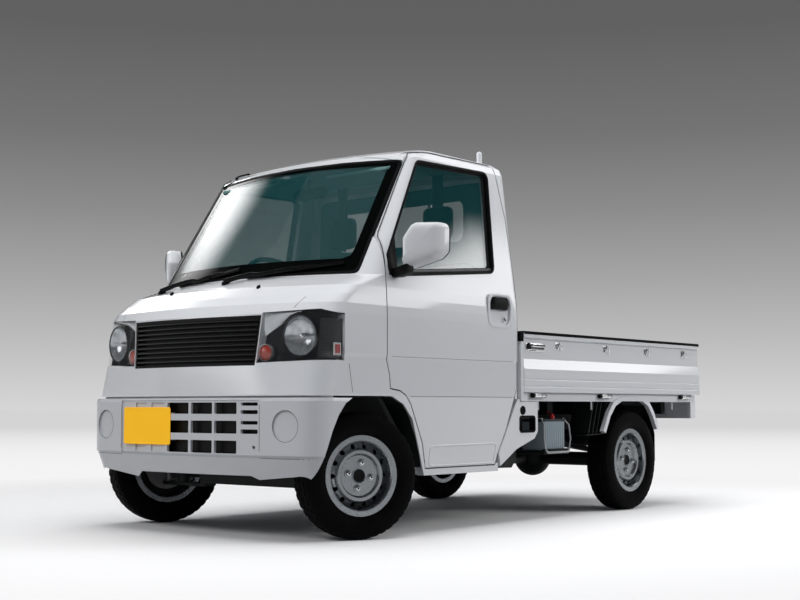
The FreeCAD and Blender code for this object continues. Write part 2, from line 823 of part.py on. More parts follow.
def make_lamps(outer):
    """Headlamp housings with reflector bowls, and their clear lenses."""
    fit = size.seat_gap.value
    zone = lamp_zone(fit)
    lens = outer.cut(cab_block(size.lens_wall.value)).common(zone)
    housing = cab_block(size.lens_wall.value + fit).cut(cab_block(size.cab_wall.value)).common(zone)
    bowl = Part.makeSphere(size.reflector_radius.value,
                           Vector(size.reflector_reach.value, 0, size.reflector_level.value))
    face = Vector(0, -size.cab_nose.value * CAB_SECTION_SHARES[HEADER_ROW - 5][3], 0)
    bowl.translate(face + Vector(0, size.reflector_depth.value - size.reflector_radius.value, 0))
    housing = housing.cut(bowl)
    lens_left = solid_feature("headlamp_lens", lens)
    housing_left = solid_feature("headlamp_housing", housing)
    keep(pair("headlamp_lenses", lens_left), "headlamp_lenses")
    keep(pair("headlamps", housing_left), "headlamps")


def make_grille():
    """Grille moulding with a rim, deep slots and the slats between them."""
    fit = size.seat_gap.value
    set_in = size.grille_setback.value
    plate = cab_block(set_in).cut(cab_block(set_in + size.grille_depth.value)).common(grille_zone(fit))
    trough = cab_block(0).cut(cab_block(set_in + size.grille_slot_depth.value))
    rim = size.grille_rim.value
    outline = both_halves(front_outline(GRILLE_SHARES))
    inside = grown(outline, -rim)
    low = min(z for x, z in inside)
    high = max(z for x, z in inside)
    pitch = (high - low) / SLAT_COUNT
    reach = size.half_width.value
    slots = []
    for index in range(SLAT_COUNT):
        slots.append(Part.makeBox(2 * reach, size.cab_nose.value, pitch - size.grille_slat.value,
                                  Vector(-reach, -size.cab_nose.value - size.overrun.value,
                                         low + index * pitch)))
    opening = front_prism(inside, -size.cab_nose.value - size.overrun.value, 0)
    slot_space = Part.makeCompound(slots).common(opening).common(trough)
    keep(solid_feature("grille", plate.cut(slot_space)), "grille")


# Bumper

def bumper_block(wall):
    """Full form of the front bumper, moved inward by a wall."""
    reach = size.body_reach.value
    half = size.half_width.value
    low = size.bumper_bottom.value
    span = size.bumper_top.value - low
    rings = []
    for row, (level, centre, edge_x, edge_y, side_x, side_y) in enumerate(BUMPER_SECTION_SHARES):
        height = low + span * level
        if wall > 0 and row == 0:
            height -= size.overrun.value
        if wall > 0 and row == len(BUMPER_SECTION_SHARES) - 1:
            height += size.overrun.value
        rings.append(plan_ring(height, wall - reach * centre, half * edge_x - wall / 2,
                               wall - reach * edge_y, half * side_x - wall, wall - reach * side_y,
                               -size.bumper_end.value / 2, size.cab_corner.value))
    return Part.makeLoft(rings, True, True)


def make_bumper():
    """Front bumper shell with air slots, round blanks and arch ends."""
    reach = size.body_reach.value
    low = size.bumper_bottom.value
    span = size.bumper_top.value - low
    over = size.overrun.value
    outer = bumper_block(0)
    shell = outer.cut(bumper_block(size.bumper_wall.value))
    line = [(-reach * forward, low + span * up) for forward, up in BUMPER_ARCH_SHARES]
    behind = [(line[0][0], low - over)] + line + [(line[-1][0], low + span + over),
                                                  (0, low + span + over), (0, low - over)]
    half = size.half_width.value
    shell = shell.cut(side_prism(behind, -half - over, half + over))
    notch = [(half * across, low + span * up) for across, up in BUMPER_NOTCH_SHARES]
    notch = [(notch[0][0], low - over)] + notch + [(notch[-1][0], low - over)]
    shell = shell.cut(front_prism(notch, -reach - over, 0))

    def window(across, up, corner):
        left, right = (half * share for share in across)
        foot, head = (low + span * share for share in up)
        made = Part.makeBox(right - left, over, head - foot, Vector(left, -reach - over / 2, foot))
        return round_corners(made, Vector(0, 1, 0), corner) if corner else made

    corner = size.bumper_slot_round.value
    step = size.bumper_step.value
    (left, foot), (right, head) = BUMPER_RECESS_SHARES
    shell = shell.cut(outer.cut(bumper_block(step)).common(window((left, right), (foot, head), 0)))
    holes = [window(column, row, corner) for row in BUMPER_ROW_SHARES for column in BUMPER_COLUMN_SHARES]
    for foot, head in BUMPER_ROW_SHARES[:-1]:
        for start, end in BUMPER_END_PART_SHARES:
            part_row = (foot + (head - foot) * start, foot + (head - foot) * end)
            holes.append(window(BUMPER_END_SHARES, part_row, corner))
    across, up = TOW_HOLE_SHARES
    holes.append(Part.makeCylinder(size.tow_hole_radius.value, over,
                                   Vector(half * across, -reach - over / 2, low + span * up),
                                   Vector(0, 1, 0)))
    shell = shell.cut(holes)
    blinds = [window(column, row, corner) for row in BUMPER_ROW_SHARES for column in BUMPER_BLIND_SHARES]
    shell = shell.cut(outer.cut(bumper_block(2 * step)).common(Part.makeCompound(blinds)))
    fog = Part.makeCylinder(size.fog_radius.value, over,
                            Vector(size.fog_reach.value, -reach - over / 2, size.fog_level.value),
                            Vector(0, 1, 0))
    recess = outer.cut(bumper_block(size.fog_depth.value)).common(fog)
    shell = shell.cut([recess, other_side(recess)])
    keep(solid_feature("front_bumper", shell), "front_bumper")


# Inside of the cab

def inside_space():
    """The free space inside the cab's walls and door frames."""
    wall = size.cab_wall + size.pillar_wall + size.panel_gap + size.seat_gap
    return solid_feature("InsideSpace", cab_block(wall.value))


def make_floor():
    """Pressed floor: wheel arch shelf, toe board, footwell, heel board and seat box."""
    body = new_body("FloorSheet")
    sketch = new_sketch(body, "FloorProfile", "YZ_Plane")
    wall = size.floor_wall
    top = [(-size.floor_front, size.floor_high), (-size.toe_top, size.floor_high),
           (-size.toe_foot, size.floor_low), (-size.heel_foot, size.floor_low),
           (-size.heel_top, size.seat_box_top), (-size.floor_back, size.seat_box_top)]
    under = [(-size.floor_back, size.seat_box_top - wall), (wall - size.heel_top, size.seat_box_top - wall),
             (wall - size.heel_foot, size.floor_low - wall), (-size.toe_foot - wall, size.floor_low - wall),
             (-size.toe_top - wall, size.floor_high - wall), (-size.floor_front, size.floor_high - wall)]
    draw_polygon(sketch, top + under)
    pad(body, sketch, 2 * size.floor_reach, midplane=True)
    return keep(common("floor", body, inside_space()), "floor")


def make_dashboard():
    """Dashboard with a sloping top, a hood line and a knee face, trimmed to the walls."""
    body = new_body("DashBody")
    sketch = new_sketch(body, "DashProfile", "YZ_Plane")
    depth = size.dash_front - size.dash_back
    rise = size.dash_top - size.dash_low
    points = [(-size.dash_front, size.dash_top - rise * 0.15),
              (-size.dash_front + depth * 0.5, size.dash_top),
              (-size.dash_back - depth * 0.12, size.dash_top),
              (-size.dash_back, size.dash_top - rise * 0.22),
              (-size.dash_back - depth * 0.1, size.dash_low),
              (-size.dash_back - depth * 0.45, size.dash_low - rise * 0.3),
              (-size.dash_front, size.dash_low - rise * 0.3)]
    draw_polygon(sketch, points)
    pad(body, sketch, 2 * size.dash_reach, midplane=True)
    keep(common("dashboard", body, inside_space()), "dashboard")


def make_seats(roof):
    """Seat cushions, backrests and head restraints as plain closed forms."""
    half = size.cushion_width / 2
    low = size.seat_box_top + size.seat_gap
    cushion = block("Cushion", (size.seat_spread - half, -size.cushion_nose, low),
                    (size.seat_spread + half, size.cushion_length - size.cushion_nose,
                     low + size.cushion_height))
    soft = rounded("CushionRound", cushion, size.cushion_round, lambda edge: True)
    keep(pair("seat_cushions", soft), "seat_cushions")

    half = size.backrest_width / 2
    front = size.cushion_length - size.cushion_nose - size.backrest_depth
    low = low + size.cushion_height + size.seat_gap
    back = block("Backrest", (size.seat_spread - half, front, low),
                 (size.seat_spread + half, front + size.backrest_depth, low + size.backrest_height))
    soft = rounded("BackrestRound", back, size.backrest_round, lambda edge: True)
    keep(pair("seat_backs", soft), "seat_backs")

    half = size.headrest_width / 2
    low = size.headrest_level - size.headrest_height / 2
    rest = block("Headrest", (size.seat_spread - half, -size.headrest_back, low),
                 (size.seat_spread + half, size.headrest_depth - size.headrest_back,
                  low + size.headrest_height))
    soft = rounded("HeadrestRound", rest, size.headrest_round, lambda edge: True)
    half = size.headrest_stalk / 2
    middle = size.headrest_depth / 2 - size.headrest_back
    top = size.cab_height - size.roof_wall
    stalk = block("HeadrestStalk", (size.seat_spread - half, middle - size.stalk_wall / 2,
                                    size.headrest_level),
                  (size.seat_spread + half, middle + size.stalk_wall / 2, top))
    hung = cut("HeadRestraintHung", fuse("HeadRestraint", [soft, stalk]), roof)
    keep(pair("head_restraints", hung), "head_restraints")


def wheel_axis():
    tilt = math.radians(WHEEL_TILT_DEGREES)
    return (0.0, math.sin(tilt), math.cos(tilt))


def make_steering(floor):
    """Steering wheel, its column, the rack and its tie rods."""
    axis = Vector(*wheel_axis())
    centre = Vector(-size.wheel_reach.value, -size.wheel_back.value, size.wheel_level.value)
    turn = FreeCAD.Rotation(Vector(0, 0, 1), axis)
    rim = doc.addObject("Part::Torus", "WheelRim")
    rim.setExpression("Radius1", size.wheel_radius.text)
    rim.setExpression("Radius2", size.wheel_rim.text)
    boss = doc.addObject("Part::Cylinder", "WheelBoss")
    boss.setExpression("Radius", size.wheel_boss.text)
    boss.setExpression("Height", size.wheel_boss_depth.text)
    boss.setExpression("Placement.Base.z", (size.wheel_rim - size.wheel_boss_depth).text)
    spoke = block("WheelSpoke", (-size.wheel_radius, -size.wheel_spoke / 2, -size.wheel_spoke_wall / 2),
                  (size.wheel_radius, size.wheel_spoke / 2, size.wheel_spoke_wall / 2))
    lower = block("WheelLowerSpoke", (-size.wheel_spoke / 2, ZERO, -size.wheel_spoke_wall / 2),
                  (size.wheel_spoke / 2, size.wheel_radius, size.wheel_spoke_wall / 2))
    wheel = fuse("steering_wheel", [rim, boss, spoke, lower])
    wheel.Placement = FreeCAD.Placement(centre, turn)
    keep(wheel, "steering_wheel")

    gap = size.seat_gap + size.wheel_boss_depth - size.wheel_rim
    start = centre - axis * gap.value
    column = doc.addObject("Part::Cylinder", "ColumnTube")
    column.setExpression("Radius", size.column_radius.text)
    column.setExpression("Height", (size.column_length - gap).text)
    column.Placement = FreeCAD.Placement(start, FreeCAD.Rotation(Vector(0, 0, 1), -axis))
    keep(cut("steering_column", column, floor), "steering_column")

    shift = size.steering_arm * math.sin(math.radians(REST_STEER_DEGREES))
    back = front_axle + size.steering_arm * math.cos(math.radians(REST_STEER_DEGREES))
    level = size.tyre_radius - size.arm_drop + size.arm_wall / 2 + size.rod_radius + size.seat_gap
    tie = rod("TieRod", size.rod_radius, 2 * size.kingpin_half,
              (shift - size.kingpin_half, back, level), (1, 0, 0))
    keep(tie, "steering_rack")


# Wheels

def placed(body, centre_x, centre_y, angle):
    """Put a wheel piece, modelled about its own centre, at its place."""
    turn = FreeCAD.Rotation(Vector(0, 0, 1), angle)
    body.Placement = FreeCAD.Placement(Vector(centre_x, centre_y, size.tyre_radius.value), turn)
    return body


def wheel_places():
    """Name, centre and turn of each wheel; the outer face looks along its own +X."""
    steer = math.radians(REST_STEER_DEGREES)
    arm = size.track_half.value - size.kingpin_half.value
    kingpin = size.kingpin_half.value
    front = front_axle.value
    across = arm * math.cos(steer)
    along = arm * math.sin(steer)
    return (
        ("front_left", kingpin + across, front - along, -REST_STEER_DEGREES),
        ("front_right", -kingpin - across, front + along, 180.0 - REST_STEER_DEGREES),
        ("rear_left", size.track_half.value, rear_axle.value, 0.0),
        ("rear_right", -size.track_half.value, rear_axle.value, 180.0),
    )


def tyre_body(name):
    """Tyre: tread, rounded shoulders, bulged walls and beads, turned about its axle."""
    body = new_body(name)
    sketch = new_sketch(body, name + "Profile", "XZ_Plane")
    half = size.tyre_width / 2
    depth = size.tyre_radius - size.bead_radius
    bead = size.flange_half - size.flange_wall - size.seat_gap
    right = [(bead, size.bead_radius + size.seat_gap), (bead, size.flange_radius),
             (half * 0.93, size.bead_radius + depth * 0.30), (half, size.bead_radius + depth * 0.52),
             (half * 0.96, size.bead_radius + depth * 0.76), (half * 0.84, size.bead_radius + depth * 0.93),
             (half * 0.66, size.tyre_radius)]
    left = [(-across, up) for across, up in reversed(right)]
    draw_polygon(sketch, right + left)
    revolve(body, sketch)
    return body


def rim_body(name):
    """Pressed steel wheel: barrel with flanges, domed disc, ring of vent holes and hub bore."""
    body = new_body(name)
    sketch = new_sketch(body, name + "Profile", "XZ_Plane")
    edge = size.flange_half
    inner = edge - size.flange_wall
    barrel = size.bead_radius - size.barrel_wall
    face = size.disc_face
    crest = size.disc_crest
    wall = size.disc_wall
    ring = size.crest_radius
    root = face * 0.5
    points = [(edge, size.flange_radius), (edge, size.bead_radius - size.flange_wall / 2),
              (inner, barrel), (root, barrel),
              (face, size.vent_ring - size.vent_radius * 0.6), (crest, ring + wall),
              (crest, ring - wall), (face, ring - wall * 2.2), (face, size.hub_bore),
              (face - wall, size.hub_bore), (face - wall, ring - wall * 2.2),
              (crest - wall, ring - wall * 0.8), (crest - wall, ring + wall * 0.4),
              (face - wall, size.vent_ring - size.vent_radius * 0.7), (root - wall, barrel),
              (-inner, barrel), (-edge, size.bead_radius - size.flange_wall / 2),
              (-edge, size.flange_radius), (-inner, size.flange_radius), (-inner, size.bead_radius),
              (inner, size.bead_radius), (inner, size.flange_radius)]
    draw_polygon(sketch, points)
    turned = revolve(body, sketch)
    doc.recompute()
    hole = new_sketch(body, name + "Vent", "YZ_Plane")
    half_pitch = math.pi / VENT_COUNT
    draw_circle(hole, size.vent_ring * math.sin(half_pitch), size.vent_ring * math.cos(half_pitch),
                size.vent_radius)
    vent = pocket(body, hole, size.tyre_width, midplane=True)
    doc.recompute()
    pattern = body.newObject("PartDesign::PolarPattern", name + "Vents")
    pattern.Originals = [vent]
    pattern.Axis = (hole, ["N_Axis"])
    pattern.Angle = 360.0
    pattern.Occurrences = VENT_COUNT
    body.Tip = pattern
    doc.recompute()
    if not body.Shape.Volume < turned.Shape.Volume:
        raise RuntimeError("the vent holes cut nothing")
    return body


def make_wheels():
    for name, centre_x, centre_y, angle in wheel_places():
        keep(placed(tyre_body("tyre_" + name), centre_x, centre_y, angle), "tyre_" + name)
        keep(placed(rim_body("rim_" + name), centre_x, centre_y, angle), "rim_" + name)


def knuckle_body(name, arm_side):
    """Steering knuckle: stub, brake disc, hub face and the arm to the tie rod."""
    body = new_body(name)
    sketch = new_sketch(body, name + "Profile", "XZ_Plane")
    face = size.disc_face - size.disc_wall - size.seat_gap
    disc = size.brake_wall - size.stub_radius
    points = [(-size.stub_length, ZERO), (-size.stub_length, size.stub_radius),
              (-size.stub_radius, size.stub_radius), (-size.stub_radius, size.brake_radius),
              (disc, size.brake_radius), (disc, size.hub_radius), (face, size.hub_radius),
              (face, ZERO)]
    draw_polygon(sketch, points)
    revolve(body, sketch)
    kingpin = size.kingpin_half - size.track_half
    half = size.arm_width / 2
    reach = size.steering_arm * arm_side
    arm = new_sketch(body, name + "Arm", "XY_Plane", -size.arm_drop)
    draw_polygon(arm, [(kingpin - half, ZERO), (kingpin + half, ZERO),
                       (kingpin + half, reach + half * arm_side), (kingpin - half, reach + half * arm_side)])
    pad(body, arm, size.arm_wall, midplane=True)
    post = new_sketch(body, name + "Post", "XY_Plane")
    draw_circle(post, kingpin, ZERO, half)
    pad(body, post, 2 * size.arm_drop + size.arm_wall, midplane=True)
    return body


def make_knuckles():
    sides = {"front_left": ("knuckle_left", 1), "front_right": ("knuckle_right", -1)}
    for name, centre_x, centre_y, angle in wheel_places():
        if name in sides:
            label, arm_side = sides[name]
            keep(placed(knuckle_body(label, arm_side), centre_x, centre_y, angle), label)


# Bed

def gate_profile(outer, inward):
    """Section of a gate from its outer face: top rail, recess, slanted band, ribbed lower face."""
    wall = size.gate_wall * inward
    step = size.gate_step * inward
    groove = size.gate_groove * inward
    low = size.gate_low
    high = size.gate_top
    tall = high - low
    rail = high - size.gate_rail
    return [(outer, low), (outer, low + tall * 0.08), (outer + groove, low + tall * 0.10),
            (outer, low + tall * 0.12), (outer, low + tall * 0.20), (outer + groove, low + tall * 0.22),
            (outer, low + tall * 0.24), (outer, low + tall * 0.39), (outer + step * 1.5, low + tall * 0.56),
            (outer + step * 1.5, rail - size.gate_step / 2), (outer, rail), (outer, high),
            (outer + wall, high), (outer + wall, rail - size.gate_step),
            (outer + wall - groove, rail - size.gate_step * 2), (outer + wall - groove, low + tall * 0.1),
            (outer + wall, low)]


def make_side_gates():
    """Left drop side with rope hooks and hinge barrels, and its mirror image."""
    body = new_body("GatePanel")
    sketch = new_sketch(body, "GateProfile", "XZ_Plane", -gate_start)
    draw_polygon(sketch, gate_profile(size.half_width, -1))
    pad(body, sketch, gate_length, reverse=True)
    pieces = [body]
    for share in GATE_HINGE_SHARES:
        middle = gate_start + gate_length * share
        pieces.append(hinge_barrel(f"GateBarrel{len(pieces)}", hinge_line, middle, size.hinge_length))
        pieces.append(block(f"GateLeaf{len(pieces)}",
                            (hinge_line - size.hinge_leaf / 2, middle - size.hinge_length / 2,
                             size.gate_hinge_level),
                            (hinge_line + size.hinge_leaf / 2, middle + size.hinge_length / 2,
                             size.gate_low + size.hinge_radius)))
    for share in GATE_HOOK_SHARES:
        middle = gate_start + gate_length * share
        face = size.half_width - size.gate_step * 1.5
        pieces.append(block(f"GateHook{len(pieces)}",
                            (face - size.hook_radius, middle - size.hook_width / 2,
                             size.hook_level - size.hook_radius),
                            (face + size.hook_radius * 2, middle + size.hook_width / 2,
                             size.hook_level + size.hook_radius)))
    left = keep(fuse("gate_left", pieces), "gate_left")
    keep(mirrored("gate_right", left), "gate_right")


def hinge_barrel(name, across, along, length, direction=(0, 1, 0)):
    """Hinge barrel centred on a place along its axis."""
    start = [across, along, size.gate_hinge_level]
    slot = 1 if direction[1] else 0
    start[slot] = start[slot] - length / 2
    return rod(name, size.hinge_radius, length, start, direction)


def make_tailgate():
    """Tailgate between the side gates."""
    half = size.half_width - size.gate_wall - size.panel_gap
    body = new_body("TailgatePanel")
    sketch = new_sketch(body, "TailgateProfile", "YZ_Plane")
    draw_polygon(sketch, gate_profile(size.gate_tail, -1))
    pad(body, sketch, 2 * half, midplane=True)
    pieces = [body]
    line = size.gate_tail - size.gate_hinge_inset
    for share in TAILGATE_HINGE_SHARES:
        middle = half * (2 * share - 1)
        pieces.append(hinge_barrel(f"TailBarrel{len(pieces)}", middle, line, size.hinge_length, (1, 0, 0)))
        pieces.append(block(f"TailLeaf{len(pieces)}",
                            (middle - size.hinge_length / 2, line - size.hinge_leaf / 2,
                             size.gate_hinge_level),
                            (middle + size.hinge_length / 2, line + size.hinge_leaf / 2,
                             size.gate_low + size.hinge_radius)))
    keep(fuse("tailgate", pieces), "tailgate")


def guard_line(growth, shares=GUARD_SHARES):
    """Points of the rear wheel guard's arch as lengths, grown outward from the axle."""
    radius = size.tyre_radius
    return [(rear_axle + radius * (along * (1 + growth)), radius + radius * (up * (1 + growth)))
            for along, up in shares]


def make_bed_floor():
    """Bed floor with ribs, side rails, tail rail, hinge ears and rope hooks."""
    half = size.half_width - size.gate_wall - size.panel_gap
    front = gate_start
    back = size.gate_tail - size.gate_wall - size.panel_gap
    plate = block("BedPlate", (-half, front - size.panel_gap, size.bed_floor_low),
                  (half, back, size.bed_floor_low + size.bed_floor_wall))
    pieces = [plate]
    top = size.bed_floor_low + size.bed_floor_wall
    for index in range(BED_RIB_COUNT):
        middle = half * (2 * (index + 1) / (BED_RIB_COUNT + 1) - 1)
        pieces.append(block(f"BedRib{index}", (middle - size.bed_rib_width / 2, front, top),
                            (middle + size.bed_rib_width / 2, back - size.bed_rib_width, top + size.bed_rib)))
    rail_top = size.bed_floor_low
    rail = block("SubRail", (size.sub_rail_reach - size.sub_rail_width, front - size.panel_gap,
                             size.sub_rail_low),
                 (size.sub_rail_reach, back, rail_top - size.hinge_leaf))
    web = block("SubRailWeb", (size.sub_rail_reach - size.sub_rail_width, front - size.panel_gap,
                               size.sub_rail_low),
                (half, back, rail_top))
    tail = block("TailRail", (-half, back - size.sub_rail_width, size.sub_rail_low),
                 (half, size.gate_tail - size.hinge_radius * 2 - size.gate_hinge_inset, rail_top - size.hinge_leaf))
    tail_web = block("TailRailWeb", (-half, back - size.sub_rail_width, size.sub_rail_low),
                     (half, back, rail_top))
    sides = [rail, web, mirrored("SubRailOther", rail), mirrored("SubRailWebOther", web)]
    body = new_body("ArchNotch")
    sketch = new_sketch(body, "ArchNotchProfile", "YZ_Plane")
    draw_polygon(sketch, guard_line(NOTCH_GROWTH))
    pad(body, sketch, 2 * size.half_width, midplane=True)
    solid = fuse("BedSolid", pieces + sides + [tail, tail_web])
    notched = cut("BedNotched", solid, body)
    extra = []
    for share in GATE_HINGE_SHARES:
        middle = gate_start + gate_length * share
        for way in (-1, 1):
            centre = middle + (size.hinge_length * 0.75 + size.seat_gap) * way
            extra.append(hinge_barrel(f"Ear{len(extra)}", hinge_line, centre, size.hinge_length / 2))
            extra.append(block(f"EarFoot{len(extra)}",
                               (size.sub_rail_reach - size.hinge_leaf, centre - size.hinge_length / 4,
                                size.gate_hinge_level - size.hinge_radius),
                               (hinge_line, centre + size.hinge_length / 4, size.gate_hinge_level)))
    for way in (-1, 1):
        line = size.gate_tail - size.gate_hinge_inset
        place = (half * (2 * TAILGATE_HINGE_SHARES[1] - 1)
                 + (size.hinge_length * 0.75 + size.seat_gap) * way)
        extra.append(hinge_barrel(f"TailEar{len(extra)}", place, line, size.hinge_length / 2, (1, 0, 0)))
        extra.append(block(f"TailEarFoot{len(extra)}",
                           (place - size.hinge_length / 4, line - size.hinge_radius * 3,
                            size.gate_hinge_level - size.hinge_radius),
                           (place + size.hinge_length / 4, line, size.gate_hinge_level)))
    for share in ROPE_HOOK_SHARES:
        middle = gate_start + gate_length * share
        extra.append(rod(f"RopeHook{len(extra)}", size.rope_hook_radius,
                         size.rope_hook_drop + size.rope_hook_radius,
                         (size.sub_rail_reach - size.rope_hook_radius * 2, middle,
                          size.sub_rail_low - size.rope_hook_drop), (0, 0, 1)))
    others = [mirrored(item.Name + "Other", item) for item in extra]
    keep(fuse("bed_floor", [notched] + extra + others), "bed_floor")


def make_bed_front():
    """Fixed front panel of the bed with the guard frame that stands on it."""
    half = size.half_width
    back = size.bed_panel_wall - size.bed_front
    panel = block("BedFrontPanel", (-half, -size.bed_front, size.sub_rail_low),
                  (half, back, size.gate_top))
    middle = size.bed_panel_wall / 2 - size.bed_front
    pieces = [panel]
    low = size.gate_top - size.guard_radius
    for way in (-1, 1):
        pieces.append(rod(f"GuardPost{way + 1}", size.guard_radius, size.guard_height - low
                          - size.guard_radius, (size.guard_reach * way, middle, low), (0, 0, 1)))
        pieces.append(rod(f"GuardBar{way + 1}", size.guard_radius * 0.7, size.guard_rail_level - low,
                          (size.guard_inner * way, middle, low), (0, 0, 1)))
        ball = doc.addObject("Part::Sphere", f"GuardEnd{way + 1}")
        ball.setExpression("Radius", size.guard_radius.text)
        ball.setExpression("Placement.Base.x", (size.guard_reach * way).text)
        ball.setExpression("Placement.Base.y", middle.text)
        ball.setExpression("Placement.Base.z", (size.guard_height - size.guard_radius).text)
        pieces.append(ball)
    for name, level in (("Low", size.gate_top + size.guard_radius * 4), ("High", size.guard_rail_level)):
        pieces.append(rod("GuardRail" + name, size.guard_radius * 0.9, 2 * size.guard_reach,
                          (-size.guard_reach, middle, level), (1, 0, 0)))
    keep(fuse("bed_front", pieces), "bed_front")


# Chassis

def spring_top():
    """Height just above the ends of the leaf springs."""
    seat = size.tyre_radius + size.axle_radius + size.seat_gap
    return seat + size.spring_wall + size.spring_rise + size.seat_gap


def make_frame():
    """Ladder frame: two kicked-up box rails, and the cross members between and on them."""
    body = new_body("FrameRail")
    sketch = new_sketch(body, "RailProfile", "YZ_Plane", size.rail_reach - size.rail_width / 2)
    low = size.rail_low
    top = low + size.rail_height
    high = low + size.rail_rise
    points = [(-size.rail_front, low), (-size.rise_start, low), (-size.rise_end, high),
              (size.rail_back, high), (size.rail_back, high + size.rail_height),
              (-size.rise_end, high + size.rail_height), (-size.rise_start, top), (-size.rail_front, top)]
    draw_polygon(sketch, points)
    pad(body, sketch, size.rail_width)
    pieces = [body, mirrored("FrameRailOther", body)]
    members = []
    length = size.rail_front + size.rail_back
    inner = size.rail_reach - size.rail_width / 2
    for index, share in enumerate(CROSS_SHARES):
        middle = length * share - size.rail_front
        base = low if middle.value < -size.rise_start.value else high
        members.append(block(f"CrossMember{index}",
                             (-inner, middle - size.cross_width / 2, base + size.rail_height * 0.2),
                             (inner, middle + size.cross_width / 2, base + size.rail_height * 0.8)))
    for index, share in enumerate(BED_BEAM_SHARES):
        middle = gate_start + gate_length * share
        members.append(block(f"BedBeam{index}",
                             (-size.bed_beam_reach, middle - size.bed_beam_width / 2,
                              high + size.rail_height),
                             (size.bed_beam_reach, middle + size.bed_beam_width / 2,
                              size.bed_floor_low)))
    hanger = size.spring_half - size.cross_width / 3
    for way in (-1, 1):
        middle = rear_axle + hanger * way
        hanger_block = block(f"SpringHanger{way + 1}",
                             (size.rail_reach, middle - size.cross_width / 3, spring_top()),
                             (size.spring_reach + size.spring_width / 2, middle + size.cross_width / 3,
                              high + size.rail_height - size.tray_wall))
        pieces += [hanger_block, mirrored(f"SpringHangerOther{way + 1}", hanger_block)]
    middle = (size.engine_front + size.engine_back) / 2
    engine_mount = block("EngineMount",
                         (size.engine_half + size.seat_gap, -middle - size.cross_width / 2,
                          low + size.rail_height * 0.2),
                         (size.rail_reach, size.cross_width / 2 - middle, low + size.rail_height * 0.8))
    pieces += [engine_mount, mirrored("EngineMountOther", engine_mount)]
    bracket = block("BumperBracket", (size.rail_reach - size.rail_width / 2, -size.body_reach, low),
                    (size.rail_reach + size.rail_width / 2, -size.rail_front, top))
    inside = solid_feature("BumperSpace", bumper_block((size.bumper_wall + size.seat_gap).value))
    bracket = common("BumperBracketFit", bracket, inside)
    pieces += [bracket, mirrored("BumperBracketOther", bracket)]
    mount_top = size.floor_low - size.floor_wall
    for index, share in enumerate((0.62, 0.95)):
        middle = -size.toe_foot + (size.toe_foot - size.heel_foot) * share
        members.append(block(f"CabMount{index}",
                             (-size.bed_beam_reach, middle - size.cross_width / 2, top),
                             (size.bed_beam_reach, middle + size.cross_width / 2, mount_top)))
    keep(fuse("frame_rails", pieces), "frame_rails")
    keep(fuse("cross_members", members), "cross_members")


def make_axles():
    """Rear axle with drums and differential, leaf springs and propeller shaft."""
    hub_face = size.track_half + size.disc_face - size.disc_wall - size.seat_gap
    level = size.tyre_radius
    tube = rod("AxleTube", size.axle_radius, 2 * hub_face, (-hub_face, rear_axle, level), (1, 0, 0))
    drum = rod("Drum", size.drum_radius, size.drum_width,
               (hub_face - size.drum_width, rear_axle, level), (1, 0, 0))
    diff = doc.addObject("Part::Sphere", "Differential")
    diff.setExpression("Radius", size.diff_radius.text)
    diff.Placement = FreeCAD.Placement(Vector(), FreeCAD.Rotation(Vector(0, 0, 1), Vector(1, 0, 0)))
    diff.setExpression("Placement.Base.x", size.diff_offset.text)
    diff.setExpression("Placement.Base.y", rear_axle.text)
    diff.setExpression("Placement.Base.z", level.text)
    keep(fuse("rear_axle", [tube, drum, mirrored("DrumOther", drum), diff]), "rear_axle")

    body = new_body("Spring")
    sketch = new_sketch(body, "SpringProfile", "YZ_Plane", size.spring_reach - size.spring_width / 2)
    seat = level + size.axle_radius + size.seat_gap
    rise = size.spring_rise
    reach = size.spring_half
    wall = size.spring_wall
    steps = (-1.0, -0.6, 0.0, 0.6, 1.0)
    low = [(rear_axle + reach * s, seat + rise * (s * s)) for s in steps]
    high = [(rear_axle + reach * s, seat + wall + rise * (s * s)) for s in reversed(steps)]
    draw_polygon(sketch, low + high)
    pad(body, sketch, size.spring_width)
    keep(pair("leaf_springs", body), "leaf_springs")

    end = rear_axle - size.diff_radius - size.seat_gap
    start = size.seat_gap - size.engine_back
    shaft = rod("propeller_shaft", size.shaft_radius, end - start,
                (size.diff_offset, start, level), (0, 1, 0))
    keep(shaft, "propeller_shaft")


def make_front_suspension():
    """Front cross member, lower arms and struts."""
    level = size.tyre_radius - size.arm_drop - size.arm_wall / 2 - size.seat_gap
    beam = block("FrontBeam", (-size.rail_reach, front_axle - size.cross_width / 2, level),
                 (size.rail_reach, front_axle + size.cross_width / 2, size.rail_low))
    arm = block("LowerArm", (size.rail_reach - size.rail_width / 2, front_axle - size.arm_width,
                             level - size.arm_wall),
                (size.kingpin_half + size.stub_radius / 2, front_axle + size.arm_width, level))
    strut = rod("Strut", size.strut_radius, size.floor_high - size.floor_wall - size.seat_gap - level,
                (size.strut_reach, front_axle, level), (0, 0, 1))
    keep(fuse("front_suspension", [beam, arm, strut, mirrored("LowerArmOther", arm),
                                   mirrored("StrutOther", strut)]), "front_suspension")


